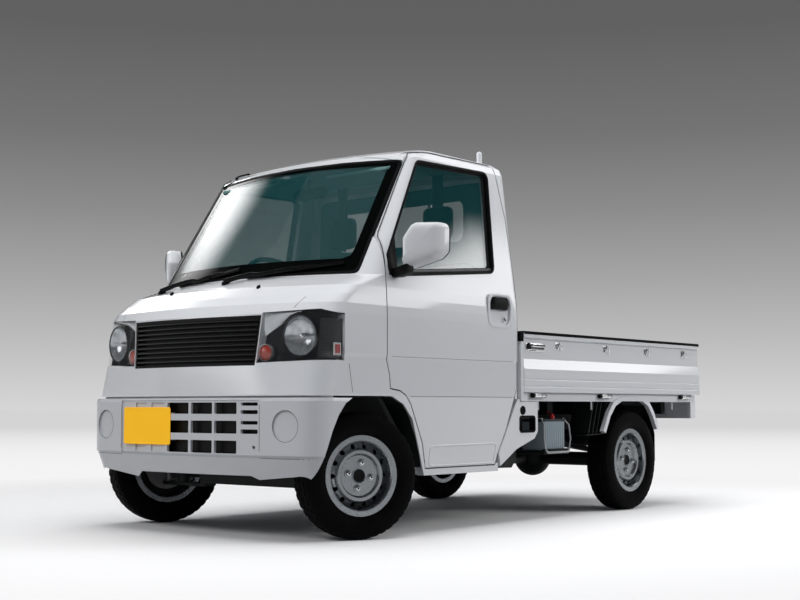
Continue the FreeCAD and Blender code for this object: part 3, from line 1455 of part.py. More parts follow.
def make_underside():
    """Engine block, fuel tank, battery box, silencer and spare wheel."""
    engine = block("engine", (-size.engine_half, -size.engine_front, size.engine_low),
                   (size.engine_half, -size.engine_back, size.engine_top))
    keep(engine, "engine_block")

    beam_low = size.rail_low + size.rail_rise + size.rail_height
    tank = block("TankBox", (-size.tank_outer, size.tank_front, size.tank_low),
                 (-size.tank_inner, size.tank_back, beam_low - size.seat_gap))
    keep(rounded("fuel_tank", tank, size.tank_round, lambda edge: abs(edge.tangentAt(0).y) > 0.9),
         "fuel_tank")

    tray = size.tray_wall
    case = block("BatteryCase", (size.battery_inner, size.battery_front, size.battery_low),
                 (size.battery_outer, size.battery_back, size.battery_top))
    base = block("BatteryTray", (size.rail_reach, size.battery_front - tray, size.battery_low - tray),
                 (size.battery_outer + tray, size.battery_back + tray, size.battery_low))
    hanger = block("BatteryHanger", (size.rail_reach, size.battery_front, size.battery_low),
                   (size.rail_reach + tray, size.battery_back, size.rail_low + size.rail_rise))
    keep(fuse("battery", [case, base, hanger]), "battery")

    silencer = rod("SilencerCan", size.silencer_radius, size.silencer_length,
                   (-size.silencer_reach, size.silencer_front, size.silencer_level), (0, 1, 0))
    pipe = rod("TailPipe", size.pipe_radius, size.silencer_length * 3.2,
               (-size.silencer_reach, -size.engine_back, size.silencer_level), (0, 1, 0))
    keep(fuse("exhaust", [silencer, pipe]), "exhaust")

    ring = doc.addObject("Part::Torus", "SpareRing")
    ring.setExpression("Radius1", (size.tyre_radius - size.spare_section).text)
    ring.setExpression("Radius2", size.spare_section.text)
    disc = doc.addObject("Part::Cylinder", "SpareDisc")
    disc.setExpression("Radius", (size.tyre_radius - size.spare_section * 1.2).text)
    disc.setExpression("Height", size.disc_wall.text)
    spare = fuse("spare_wheel", [ring, disc])
    carried = size.rail_low + size.rail_rise + size.rail_height * 0.2 - size.seat_gap
    spare.Placement = FreeCAD.Placement(
        Vector(0, size.spare_back.value, (carried - size.spare_section).value), FreeCAD.Rotation())
    keep(spare, "spare_wheel")


# Sides and tail

def make_skirts():
    """White covers behind the doors with their service openings."""
    outer = size.skirt_outer.value
    wall = size.skirt_wall.value
    back = -size.skirt_back.value
    ceiling = size.skirt_ceiling.value
    rear = -size.cab_back.value
    foot = side_outline(SKIRT_SHARES)
    low = foot[0][1]
    drop = ceiling - low
    outline = foot[:-1] + [(rear, ceiling), (back, ceiling), (back, low + drop * 0.52),
                           (back - wall, low + drop * 0.41), (rear - wall, low + drop * 0.25)]
    plate = side_prism(outline, outer - wall, outer)
    window = size.skirt_window.value
    hole = Part.makeBox(2 * wall, 2 * window, 1.3 * window,
                        Vector(outer - 1.5 * wall, back - wall - 2 * window, low + drop * 0.52))
    hole = round_corners(hole, Vector(1, 0, 0), window / 5)
    plate = plate.cut(hole)
    keep(pair("skirts", solid_feature("Skirt", plate)), "skirts")


def make_wheel_guards():
    """Rear wheel guards with their flaps, and the pale lips on their outer edges."""
    outer = size.guard_outer
    tub = new_body("WheelGuard")
    sketch = new_sketch(tub, "WheelGuardProfile", "YZ_Plane", size.guard_inner_side)
    shares = GUARD_SHARES + FLAP_SHARES
    draw_polygon(sketch, guard_line(0, shares) + list(reversed(guard_line(TUB_GROWTH, shares))))
    pad(tub, sketch, outer - size.lip_wall - size.guard_inner_side)
    keep(pair("wheel_guards", tub), "wheel_guards")
    lip = new_body("ArchLip")
    sketch = new_sketch(lip, "ArchLipProfile", "YZ_Plane", outer - size.lip_wall)
    draw_polygon(sketch, guard_line(0) + list(reversed(guard_line(LIP_GROWTH))))
    pad(lip, sketch, size.lip_wall)
    keep(pair("arch_lips", lip), "arch_lips")


def make_tail():
    """Rear cross panel with corner posts, buffers and lamps."""
    back = size.tail_back
    wall = size.tail_wall
    reach = size.post_reach
    panel = block("TailPanel", (-reach, back - wall, size.tail_low), (reach, back, size.sub_rail_low))
    post = block("TailPost", (reach - wall, back - size.post_width, size.tail_low),
                 (reach, back, size.sub_rail_low))
    pieces = [panel, post, mirrored("TailPostOther", post)]
    keep(fuse("tail_panel", pieces), "tail_panel")
    buffer_piece = rod("Buffer", size.buffer_radius, size.body_reach - back,
                       (reach - size.buffer_radius - wall, back, size.buffer_level), (0, 1, 0))
    keep(pair("buffers", buffer_piece), "buffers")
    middle = (size.tail_low + size.sub_rail_low) / 2
    inner = size.lamp_reach - size.lamp_width
    lamp = block("RearLamp", (inner, back, middle - size.lamp_height / 2),
                 (size.lamp_reach, back + size.lamp_depth, middle + size.lamp_height / 2))
    keep(pair("rear_lamps", lamp), "rear_lamps")


def make_mirrors(door):
    """Door mirrors: housing on an arm at the corner of the door window."""
    body = new_body("MirrorHousing")
    sketch = new_sketch(body, "MirrorOutline", "XZ_Plane")
    inner = size.mirror_inner
    wide = size.mirror_width
    low = size.mirror_low
    tall = size.mirror_height
    points = [(ZERO, low), (wide * 0.55, low + tall * 0.04), (wide, low + tall * 0.16),
              (wide, low + tall * 0.86), (wide * 0.9, low + tall),
              (wide * 0.3, low + tall), (ZERO, low + tall * 0.76)]
    draw_polygon(sketch, points)
    pad(body, sketch, size.mirror_depth, reverse=True)
    body.Placement = FreeCAD.Placement(Vector(inner.value, -size.mirror_forward.value, 0),
                                       FreeCAD.Rotation(Vector(0, 0, 1), MIRROR_SWEEP_DEGREES))
    foot = size.half_width * CAB_SECTION_SHARES[BELT_ROW][4] - size.mirror_round / 2
    arm = block("MirrorArm", (foot, -size.mirror_forward, low - size.mirror_arm - size.mirror_round),
                (inner + size.mirror_arm, size.mirror_depth - size.mirror_forward, low + tall * 0.05))
    left = keep(fuse("mirror_left", [body, cut("MirrorFoot", arm, door)]), "mirror_left")
    keep(mirrored("mirror_right", left), "mirror_right")


def make_wipers(panel):
    """Two wipers parked along the foot of the windscreen."""
    radius = size.wiper_radius.value
    stand = size.wiper_stand.value
    half = size.half_width.value
    solids = []
    for start_share, end_share in ((0.0, 0.80), (-0.60, 0.02)):
        level = size.cab_height.value * CAB_SECTION_SHARES[BELT_ROW][0] + 2 * stand
        count = 6
        points = []
        for index in range(count + 1):
            x = half * (start_share + (end_share - start_share) * index / count)
            points.append(screen_point(x, level) + Vector(0, -stand, stand / 2))
        pivot = Part.makeCylinder(radius * 1.3, 4 * stand, points[0], Vector(0, -0.5, -0.866))
        solids.append(pivot.cut(panel.Shape))
        for start, end in zip(points, points[1:]):
            along = end - start
            solids.append(Part.makeCylinder(radius, along.Length, start, along))
            solids.append(Part.makeSphere(radius, end))
    joined = solids[0].fuse(solids[1:])
    keep(solid_feature("wipers", joined), "wipers")


front_panel, roof_panel, door_panel = make_cab()
make_bumper()
floor_body = make_floor()
make_dashboard()
make_seats(roof_panel)
make_steering(floor_body)
make_wheels()
make_knuckles()
make_side_gates()
make_tailgate()
make_bed_floor()
make_bed_front()
make_frame()
make_axles()
make_front_suspension()
make_underside()
make_skirts()
make_wheel_guards()
make_tail()
make_mirrors(door_panel)
make_wipers(front_panel)
doc.recompute()

for item in doc.Objects:
    if "Invalid" in item.State or "Error" in item.State:
        raise RuntimeError(f"{item.Label} failed: {item.State}")
for node in NODES:
    if node.Shape.isNull() or not node.Shape.isValid():
        raise RuntimeError(f"{node.Label} has no valid shape")
for node in NODES:
    node.Shape.exportStep(f"parts/{node.Label}.step")
print(len(NODES), "sub-parts written")
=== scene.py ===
import json
import logging
import math
from dataclasses import dataclass
from enum import Enum
from typing import Callable, Optional, Sequence, Union

import bmesh
import bpy
from mathutils import Matrix, Vector
from mathutils.bvhtree import BVHTree


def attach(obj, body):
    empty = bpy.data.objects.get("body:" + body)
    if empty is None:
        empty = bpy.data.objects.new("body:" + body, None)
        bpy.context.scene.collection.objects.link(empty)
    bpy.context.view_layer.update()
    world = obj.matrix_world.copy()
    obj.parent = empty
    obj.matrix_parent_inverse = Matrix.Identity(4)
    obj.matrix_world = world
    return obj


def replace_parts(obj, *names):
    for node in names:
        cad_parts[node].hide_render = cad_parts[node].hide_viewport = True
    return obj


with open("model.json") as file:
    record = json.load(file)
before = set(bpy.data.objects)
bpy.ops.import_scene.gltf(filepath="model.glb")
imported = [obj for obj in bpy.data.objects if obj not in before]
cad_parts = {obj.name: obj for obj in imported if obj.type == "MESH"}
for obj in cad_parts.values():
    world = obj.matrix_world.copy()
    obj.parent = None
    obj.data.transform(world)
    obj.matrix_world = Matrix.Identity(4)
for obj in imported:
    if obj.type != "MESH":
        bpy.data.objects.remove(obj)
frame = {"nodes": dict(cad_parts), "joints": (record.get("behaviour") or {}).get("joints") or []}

LOG = logging.getLogger("kei_truck")
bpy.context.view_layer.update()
Colour = tuple[float, float, float]
Point = Union[Vector, Sequence[float]]
Outline = Sequence[tuple[float, float]]
Number = Union["Value", float]


# Shader maths

class Value:
    """A socket of a shader that takes part in plain Python expressions."""

    def __init__(self, graph: "Graph", socket: bpy.types.NodeSocket) -> None:
        """Keep the graph and the output socket."""
        self.graph, self.socket = graph, socket

    def maths(self, operation: str, *others: Number) -> "Value":
        """This value and the others through one Math node."""
        return self.graph.node("ShaderNodeMath", {"operation": operation}, dict(enumerate((self, *others))))

    def __add__(self, other: Number) -> "Value":
        """Sum."""
        return self.maths("ADD", other)

    __radd__ = __add__

    def __sub__(self, other: Number) -> "Value":
        """Difference."""
        return self.maths("SUBTRACT", other)

    def __rsub__(self, other: float) -> "Value":
        """Difference from a number."""
        return self.maths("MULTIPLY_ADD", -1.0, other)

    def __mul__(self, other: Number) -> "Value":
        """Product."""
        return self.maths("MULTIPLY", other)

    __rmul__ = __mul__

    def wave(self) -> "Value":
        """Sine, moved so that it runs from -1 to 1 once in two pi."""
        return self.maths("SINE")

    def size(self) -> "Value":
        """Distance from zero."""
        return self.maths("ABSOLUTE")

    def between(self, low: float, high: float) -> "Value":
        """Smooth step from zero at low to one at high."""
        inputs = {0: self, 1: low, 2: high, 3: 0.0, 4: 1.0}
        return self.graph.node("ShaderNodeMapRange", {"interpolation_type": "SMOOTHSTEP"}, inputs)


class Graph:
    """The node tree of a material or of the world."""

    def __init__(self, tree: bpy.types.NodeTree) -> None:
        """Empty the tree."""
        self.tree = tree
        tree.nodes.clear()

    def node(self, kind: str, settings: Optional[dict] = None,
             inputs: Optional[dict] = None, output: int = 0) -> Value:
        """Add a node.

        Args:
            kind: The node's type.
            settings: Settings that are made first; the key stops fills a colour ramp.
            inputs: Values or links by socket name or number.
            output: Number of the output that is given back.

        Returns:
            The chosen output.
        """
        made = self.tree.nodes.new(kind)
        for key, value in (settings or {}).items():
            if key == "stops":
                ramp = made.color_ramp
                for place, colour in value[1:-1]:
                    ramp.elements.new(place).color = (*colour, 1.0)
                for end in (0, -1):
                    ramp.elements[end].position = value[end][0]
                    ramp.elements[end].color = (*value[end][1], 1.0)
            else:
                setattr(made, key, value)
        for key, value in (inputs or {}).items():
            socket = made.inputs[key]
            if isinstance(value, Value):
                self.tree.links.new(value.socket, socket)
            elif isinstance(value, tuple) and socket.type == "RGBA":
                socket.default_value = (*value, 1.0)
            else:
                socket.default_value = value
        return Value(self, made.outputs[output])

    def axes(self) -> tuple[Value, Value, Value]:
        """The position in the object's own coordinates, which are the frame's at rest."""
        inputs = {0: self.node("ShaderNodeTexCoord", output=3)}
        return tuple(self.node("ShaderNodeSeparateXYZ", None, inputs, slot) for slot in range(3))

    def noise(self, scale: float, detail: float = 3.0) -> Value:
        """Smooth noise from zero to one, with so many features in a metre."""
        inputs = {"Vector": self.node("ShaderNodeTexCoord", output=3), "Scale": scale, "Detail": detail}
        return self.node("ShaderNodeTexNoise", None, inputs)

    def mix(self, share: Number, first: Union[Value, Colour], second: Union[Value, Colour]) -> Value:
        """Blend of two colours by the second's share."""
        return self.node("ShaderNodeMix", {"data_type": "RGBA"}, {0: share, 6: first, 7: second}, 2)

    def bump(self, height: Value, depth: float) -> Value:
        """Normal bent by a height from zero to one, whose real size is the depth."""
        return self.node("ShaderNodeBump", None, {"Strength": 1.0, "Distance": depth, "Height": height})

    def end(self, surface: Value, kind: str = "ShaderNodeOutputMaterial") -> None:
        """Lead a surface to the tree's output."""
        self.tree.links.new(surface.socket, self.tree.nodes.new(kind).inputs[0])

    def principled(self, **inputs: Union[Number, Colour]) -> None:
        """End with a Principled surface; underscores stand for the spaces in its sockets' names."""
        sockets = {key.replace("_", " "): value for key, value in inputs.items()}
        self.end(self.node("ShaderNodeBsdfPrincipled", None, sockets))


def new_material(name: str) -> tuple[bpy.types.Material, Graph]:
    """Start a material.

    Args:
        name: Its name.

    Returns:
        The material and its empty graph.
    """
    made = bpy.data.materials.new(name)
    made.use_nodes = True
    return made, Graph(made.node_tree)


# Finishes

def shade(colour: Colour, factor: float) -> Colour:
    """A colour made lighter or darker by a factor."""
    return tuple(min(1.0, part * factor) for part in colour)


@dataclass(frozen=True)
class Finish:
    """A finish with slight changes of tone, gloss and relief.

    Attributes:
        name: Name of the material.
        colour: Base colour.
        roughness: Mean roughness.
        metallic: One for bare metal.
        coat: Weight of a clear coat.
        mottle_and_sheen: Share by which the tone varies at random; on the lamp bowl its strong patches are
            painted reflection.
        patch: Patches of tone in a metre.
        grain: Grains of relief in a metre.
        relief: Height of the relief, in metres.
        gloss: Level of its own reflection, 0.5 for plain plastic or paint.
        glow: Strength with which it shines in its own colour; on the plate, which is no lamp, this is painted
            light.
    """

    name: str
    colour: Colour
    roughness: float = 0.5
    metallic: float = 0.0
    coat: float = 0.0
    mottle_and_sheen: float = 0.06
    patch: float = 6.0
    grain: float = 600.0
    relief: float = 0.0
    gloss: float = 0.5
    glow: float = 0.0

    def toned(self, graph: Graph, share: Value, low: float, high: float) -> Value:
        """The colour between two factors, by a share."""
        return graph.mix(share, shade(self.colour, low), shade(self.colour, high))

    def sockets(self, graph: Graph) -> dict:
        """What feeds the surface's sockets.

        Args:
            graph: The graph that the nodes join.

        Returns:
            Values by socket name.
        """
        rough = graph.noise(self.patch * 2.3) * 0.12 + (self.roughness - 0.06)
        tone = self.toned(graph, graph.noise(self.patch, 4.0), 1 - self.mottle_and_sheen, 1 + self.mottle_and_sheen)
        more = {"Normal": graph.bump(graph.noise(self.grain, 2.0), self.relief)} if self.relief else {}
        return dict(Base_Color=tone, Roughness=rough, Metallic=self.metallic, Specular_IOR_Level=self.gloss,
                    Coat_Weight=self.coat, Coat_Roughness=0.04, Emission_Color=self.colour,
                    Emission_Strength=self.glow, **more)

    def build(self) -> bpy.types.Material:
        """Make the material.

        Returns:
            The finished material.
        """
        made, graph = new_material("look_" + self.name)
        graph.principled(**self.sockets(graph))
        return made


@dataclass(frozen=True)
class Paint(Finish):
    """Body paint: a clear coat over solid colour, with a thin film of road dust near the ground."""

    dust: float = 0.10

    def sockets(self, graph: Graph) -> dict:
        """What feeds the surface's sockets.

        Args:
            graph: The graph that the nodes join.

        Returns:
            Values by socket name.
        """
        film = (1.0 - graph.axes()[2].between(0.22, 0.62)) * graph.noise(9.0, 5.0) * self.dust
        clean = self.toned(graph, graph.noise(self.patch), 1 - self.mottle_and_sheen, 1 + self.mottle_and_sheen)
        return dict(Base_Color=graph.mix(film, clean, (0.42, 0.39, 0.34)),
                    Roughness=film * 1.5 + self.roughness,
                    Coat_Weight=self.coat, Coat_Roughness=0.03,
                    Normal=graph.bump(graph.noise(160.0, 2.0), 0.00006))


@dataclass(frozen=True)
class Glass(Finish):
    """Tinted pane that mirrors the studio and shows the inside dimly."""

    clearness: float = 0.5
    shine: float = 1.0
    mirror: float = 3.2

    def sockets(self, graph: Graph) -> dict:
        """What feeds the surface's sockets.

        Args:
            graph: The graph that the nodes join.

        Returns:
            Values by socket name.
        """
        smear = graph.noise(4.0, 4.0)
        return dict(Base_Color=self.colour, Roughness=smear * 0.01 + 0.003, Specular_IOR_Level=0.5,
                    Alpha=smear * 0.05 + (1.0 - self.clearness - 0.025), Coat_Weight=self.shine,
                    Coat_IOR=self.mirror, Coat_Roughness=0.0)


@dataclass(frozen=True)
class Ribbed(Finish):
    """Surface with fine parallel ribs along one axis, with painted shade in the ribs' hollows and painted
    highlight on their crests.
    """

    axis: int = 0
    pitch: float = 0.006

    def sockets(self, graph: Graph) -> dict:
        """What feeds the surface's sockets.

        Args:
            graph: The graph that the nodes join.

        Returns:
            Values by socket name.
        """
        ribs = (graph.axes()[self.axis] * (2 * math.pi / self.pitch)).wave() * 0.5 + 0.5
        # The tone that follows the ribs is painted shade in the hollows and painted highlight on the crests.
        return dict(Base_Color=self.toned(graph, ribs, 0.72, 1.15), Roughness=self.roughness,
                    Metallic=self.metallic, Coat_Weight=self.coat, Normal=graph.bump(ribs, self.relief))


@dataclass(frozen=True)
class Weave(Finish):
    """Woven seat cloth with a fine check of threads and soft fading."""

    thread: float = 0.0016

    def sockets(self, graph: Graph) -> dict:
        """What feeds the surface's sockets.

        Args:
            graph: The graph that the nodes join.

        Returns:
            Values by socket name.
        """
        x, y, z = graph.axes()
        turn = 2 * math.pi / self.thread
        weave = (x * turn).wave() * ((y + z) * turn).wave() * 0.5 + 0.5
        worn = self.toned(graph, graph.noise(5.0), 0.85, 1.25)
        return dict(Base_Color=graph.mix(weave * 0.5, worn, shade(self.colour, 0.55)), Roughness=0.88,
                    Sheen_Weight=0.25, Normal=graph.bump(weave, 0.0003))


@dataclass(frozen=True)
class Rubber(Finish):
    """Tyre rubber: dull, finely grained and dusty in patches."""

    def sockets(self, graph: Graph) -> dict:
        """What feeds the surface's sockets.

        Args:
            graph: The graph that the nodes join.

        Returns:
            Values by socket name.
        """
        dust = graph.noise(14.0, 5.0).between(0.45, 0.8) * 0.35
        return dict(Base_Color=self.toned(graph, dust, 1.0, 4.0), Roughness=dust * 0.3 + self.roughness,
                    Specular_IOR_Level=0.06, Normal=graph.bump(graph.noise(900.0, 2.0), 0.00015))


@dataclass(frozen=True)
class Glow(Finish):
    """Lens of coloured clear plastic with a fine inner pattern."""

    def sockets(self, graph: Graph) -> dict:
        """What feeds the surface's sockets.

        Args:
            graph: The graph that the nodes join.

        Returns:
            Values by socket name.
        """
        x, _, z = graph.axes()
        cells = (x * 700.0).wave() * (z * 700.0).wave() * 0.5 + 0.5
        return dict(Base_Color=self.toned(graph, cells, 0.7, 1.25), Roughness=0.12, Coat_Weight=1.0,
                    Coat_Roughness=0.02, Normal=graph.bump(cells, 0.0006))


class Look(Enum):
    """Every finish on the truck."""

    WHITE = Paint("white_paint", (0.815, 0.83, 0.86), 0.36, coat=1.0, mottle_and_sheen=0.012, patch=2.0)
    BED_WHITE = Paint("bed_paint", (0.76, 0.775, 0.80), 0.45, coat=0.5, mottle_and_sheen=0.03, patch=5.0, dust=0.2)
    # The bumper's greyer tone is partly its own paint and partly painted shade of the low front face.
    BUMPER = Paint("bumper_paint", (0.66, 0.675, 0.71), 0.40, coat=0.8, mottle_and_sheen=0.012, patch=2.0)
    # Grey strips along the door's crease and groove: painted shade.
    PRESSED = Finish("pressed_line", (0.38, 0.39, 0.41), 0.5)
    SEAM = Finish("panel_gap", (0.060, 0.062, 0.066), 0.6)
    GLASS = Glass("tinted_glass", (0.020, 0.120, 0.128), clearness=0.66)
    FRIT = Finish("glass_border", (0.001, 0.0015, 0.0015), 0.14, gloss=0.12)
    PANE = Glass("rear_glass", (0.030, 0.140, 0.150), clearness=0.86, mirror=1.6)
    LENS = Glass("clear_lens", (0.08, 0.09, 0.10), clearness=0.93, shine=0.8)
    SEAL = Finish("window_rubber", (0.007, 0.007, 0.008), 0.6, grain=900.0, relief=0.0001, gloss=0.15)
    GREY_RUBBER = Finish("waist_rubber", (0.10, 0.105, 0.11), 0.5)
    TRIM = Finish("black_plastic", (0.0030, 0.0030, 0.0034), 0.42, grain=1500.0, relief=0.0001, gloss=0.12)
    SATIN = Finish("satin_black", (0.0035, 0.0040, 0.0044), 0.25, gloss=0.25)
    CABIN = Finish("cabin_trim", (0.045, 0.085, 0.088), 0.62, grain=700.0, relief=0.0002)
    CABIN_DARK = Finish("cabin_dark", (0.010, 0.018, 0.019), 0.6, grain=700.0, relief=0.0002)
    LINER = Finish("roof_lining", (0.17, 0.31, 0.31), 0.9, grain=420.0, relief=0.0004)
    MAT = Finish("floor_mat", (0.028, 0.029, 0.030), 0.85, grain=240.0, relief=0.0008)
    SEAT = Weave("seat_fabric", (0.022, 0.036, 0.042))
    SEAT_SIDE = Finish("seat_side", (0.030, 0.032, 0.035), 0.6, grain=800.0, relief=0.0003)
    CHASSIS = Finish("chassis_black", (0.0040, 0.0056, 0.0056), 0.5, mottle_and_sheen=0.25, patch=12.0, gloss=0.2)
    STEEL = Finish("dark_steel", (0.055, 0.055, 0.058), 0.45, 0.8, mottle_and_sheen=0.2, patch=20.0, grain=300.0,
                   relief=0.0002)
    CAST = Finish("cast_grey", (0.17, 0.17, 0.175), 0.6, 0.7, mottle_and_sheen=0.15, patch=18.0, grain=420.0,
                  relief=0.0005)
    WHEEL = Finish("wheel_silver", (0.23, 0.25, 0.265), 0.28, 0.9, coat=0.2, mottle_and_sheen=0.10, patch=14.0,
                   grain=900.0, relief=0.00006)
    BRIGHT = Finish("bright_metal", (0.62, 0.63, 0.64), 0.2, 1.0, mottle_and_sheen=0.05, patch=30.0)
    CHROME = Finish("lamp_silver", (0.80, 0.82, 0.85), 0.16, 0.75, mottle_and_sheen=0.03, patch=8.0)
    # The bowl's strong light and dark patches are painted reflection, standing in for a chrome reflector's
    # streaks.
    BOWL = Finish("lamp_bowl", (0.50, 0.53, 0.56), 0.14, 0.7, mottle_and_sheen=0.75, patch=30.0)
    WING = Finish("lamp_wing", (0.52, 0.55, 0.58), 0.22, 0.8, coat=0.3, mottle_and_sheen=0.04, patch=8.0)
    LAMP_DARK = Ribbed("lamp_ribs", (0.016, 0.018, 0.020), 0.25, 0.3, coat=0.15, axis=2, pitch=0.008,
                       relief=0.0008)
    LAMP_BASE = Finish("lamp_base", (0.006, 0.007, 0.008), 0.16, 0.2, coat=0.15, gloss=0.3)
    AMBER = Glow("amber_bulb", (0.48, 0.034, 0.010))
    RED = Glow("red_lens", (0.42, 0.008, 0.010))
    PALE = Glow("pale_lens", (0.72, 0.72, 0.70))
    TYRE = Rubber("tyre_rubber", (0.0020, 0.0020, 0.0022), 0.7)
    RUBBER = Finish("moulded_rubber", (0.0035, 0.0035, 0.0038), 0.75, relief=0.0003, gloss=0.1)
    # The plate's own glow is painted light: the plate is no lamp.
    PLATE = Finish("plate_yellow", (0.96, 0.50, 0.010), 0.35, gloss=0.2, mottle_and_sheen=0.02, glow=0.36)
    GREY = Finish("bracket_grey", (0.40, 0.41, 0.42), 0.4, 0.5)
    CASE = Ribbed("battery_case", (0.27, 0.33, 0.37), 0.5, axis=1, pitch=0.019, relief=0.002)
    CAP = Finish("red_cap", (0.45, 0.012, 0.010), 0.4)
    MIRROR = Finish("mirror_glass", (0.82, 0.85, 0.86), 0.02, 1.0, mottle_and_sheen=0.01)

    def material(self) -> bpy.types.Material:
        """The material, made when it is first asked for."""
        return bpy.data.materials.get("look_" + self.value.name) or self.value.build()

    def slot(self) -> str:
        """The record's material slot that this finish belongs to."""
        return next(slot for slot, names in SLOTS.items() if self.name in names.split())


SLOTS = {
    "white_paint": "WHITE BED_WHITE BUMPER PRESSED PLATE",
    "tinted_glass": "GLASS FRIT PANE",
    "clear_lens": "LENS",
    "lamp_silver": "BRIGHT CHROME BOWL WING LAMP_DARK LAMP_BASE AMBER RED PALE MIRROR",
    "black_plastic": "SEAM SEAL GREY_RUBBER TRIM SATIN",
    "dark_trim": "CABIN CABIN_DARK LINER MAT CASE",
    "seat_fabric": "SEAT SEAT_SIDE",
    "dark_steel": "STEEL GREY",
    "cast_grey": "CAST",
    "chassis_black": "CHASSIS",
    "wheel_silver": "WHEEL",
    "tyre_rubber": "TYRE RUBBER",
    "red_lens": "CAP",
}
CARRIED = {
    Look.WHITE: "cab_front roof cab_rear side_frame_left side_frame_right door_left door_right gate_left "
                "gate_right tailgate skirts arch_lips tail_panel",
    Look.BED_WHITE: "bed_floor bed_front",
    Look.BUMPER: "front_bumper",
    Look.GLASS: "windscreen door_glass_left door_glass_right",
    Look.PANE: "rear_window",
    Look.LENS: "headlamp_lenses",
    Look.TRIM: "grille wheel_guards",
    Look.CABIN: "dashboard",
    Look.MAT: "floor",
    Look.SATIN: "steering_wheel steering_column",
    Look.STEEL: "steering_rack leaf_springs propeller_shaft exhaust",
    Look.CAST: "knuckle_left knuckle_right engine_block",
    Look.WHEEL: "rim_front_left rim_front_right rim_rear_left rim_rear_right",
    Look.TYRE: "tyre_front_left tyre_front_right tyre_rear_left tyre_rear_right spare_wheel",
    Look.RUBBER: "buffers",
}


def carry_over() -> None:
    """Give each CAD node its own procedural finish; what isn't listed is chassis black."""
    looks = {name: look for look, names in CARRIED.items() for name in names.split()}
    for name, node in frame["nodes"].items():
        for slot in node.material_slots:
            slot.material = looks.get(name, Look.CHASSIS).material()


# Mesh building

def circle(steps: int) -> list[float]:
    """Angles of even steps round a full turn."""
    return [2 * math.pi * step / steps for step in range(steps)]


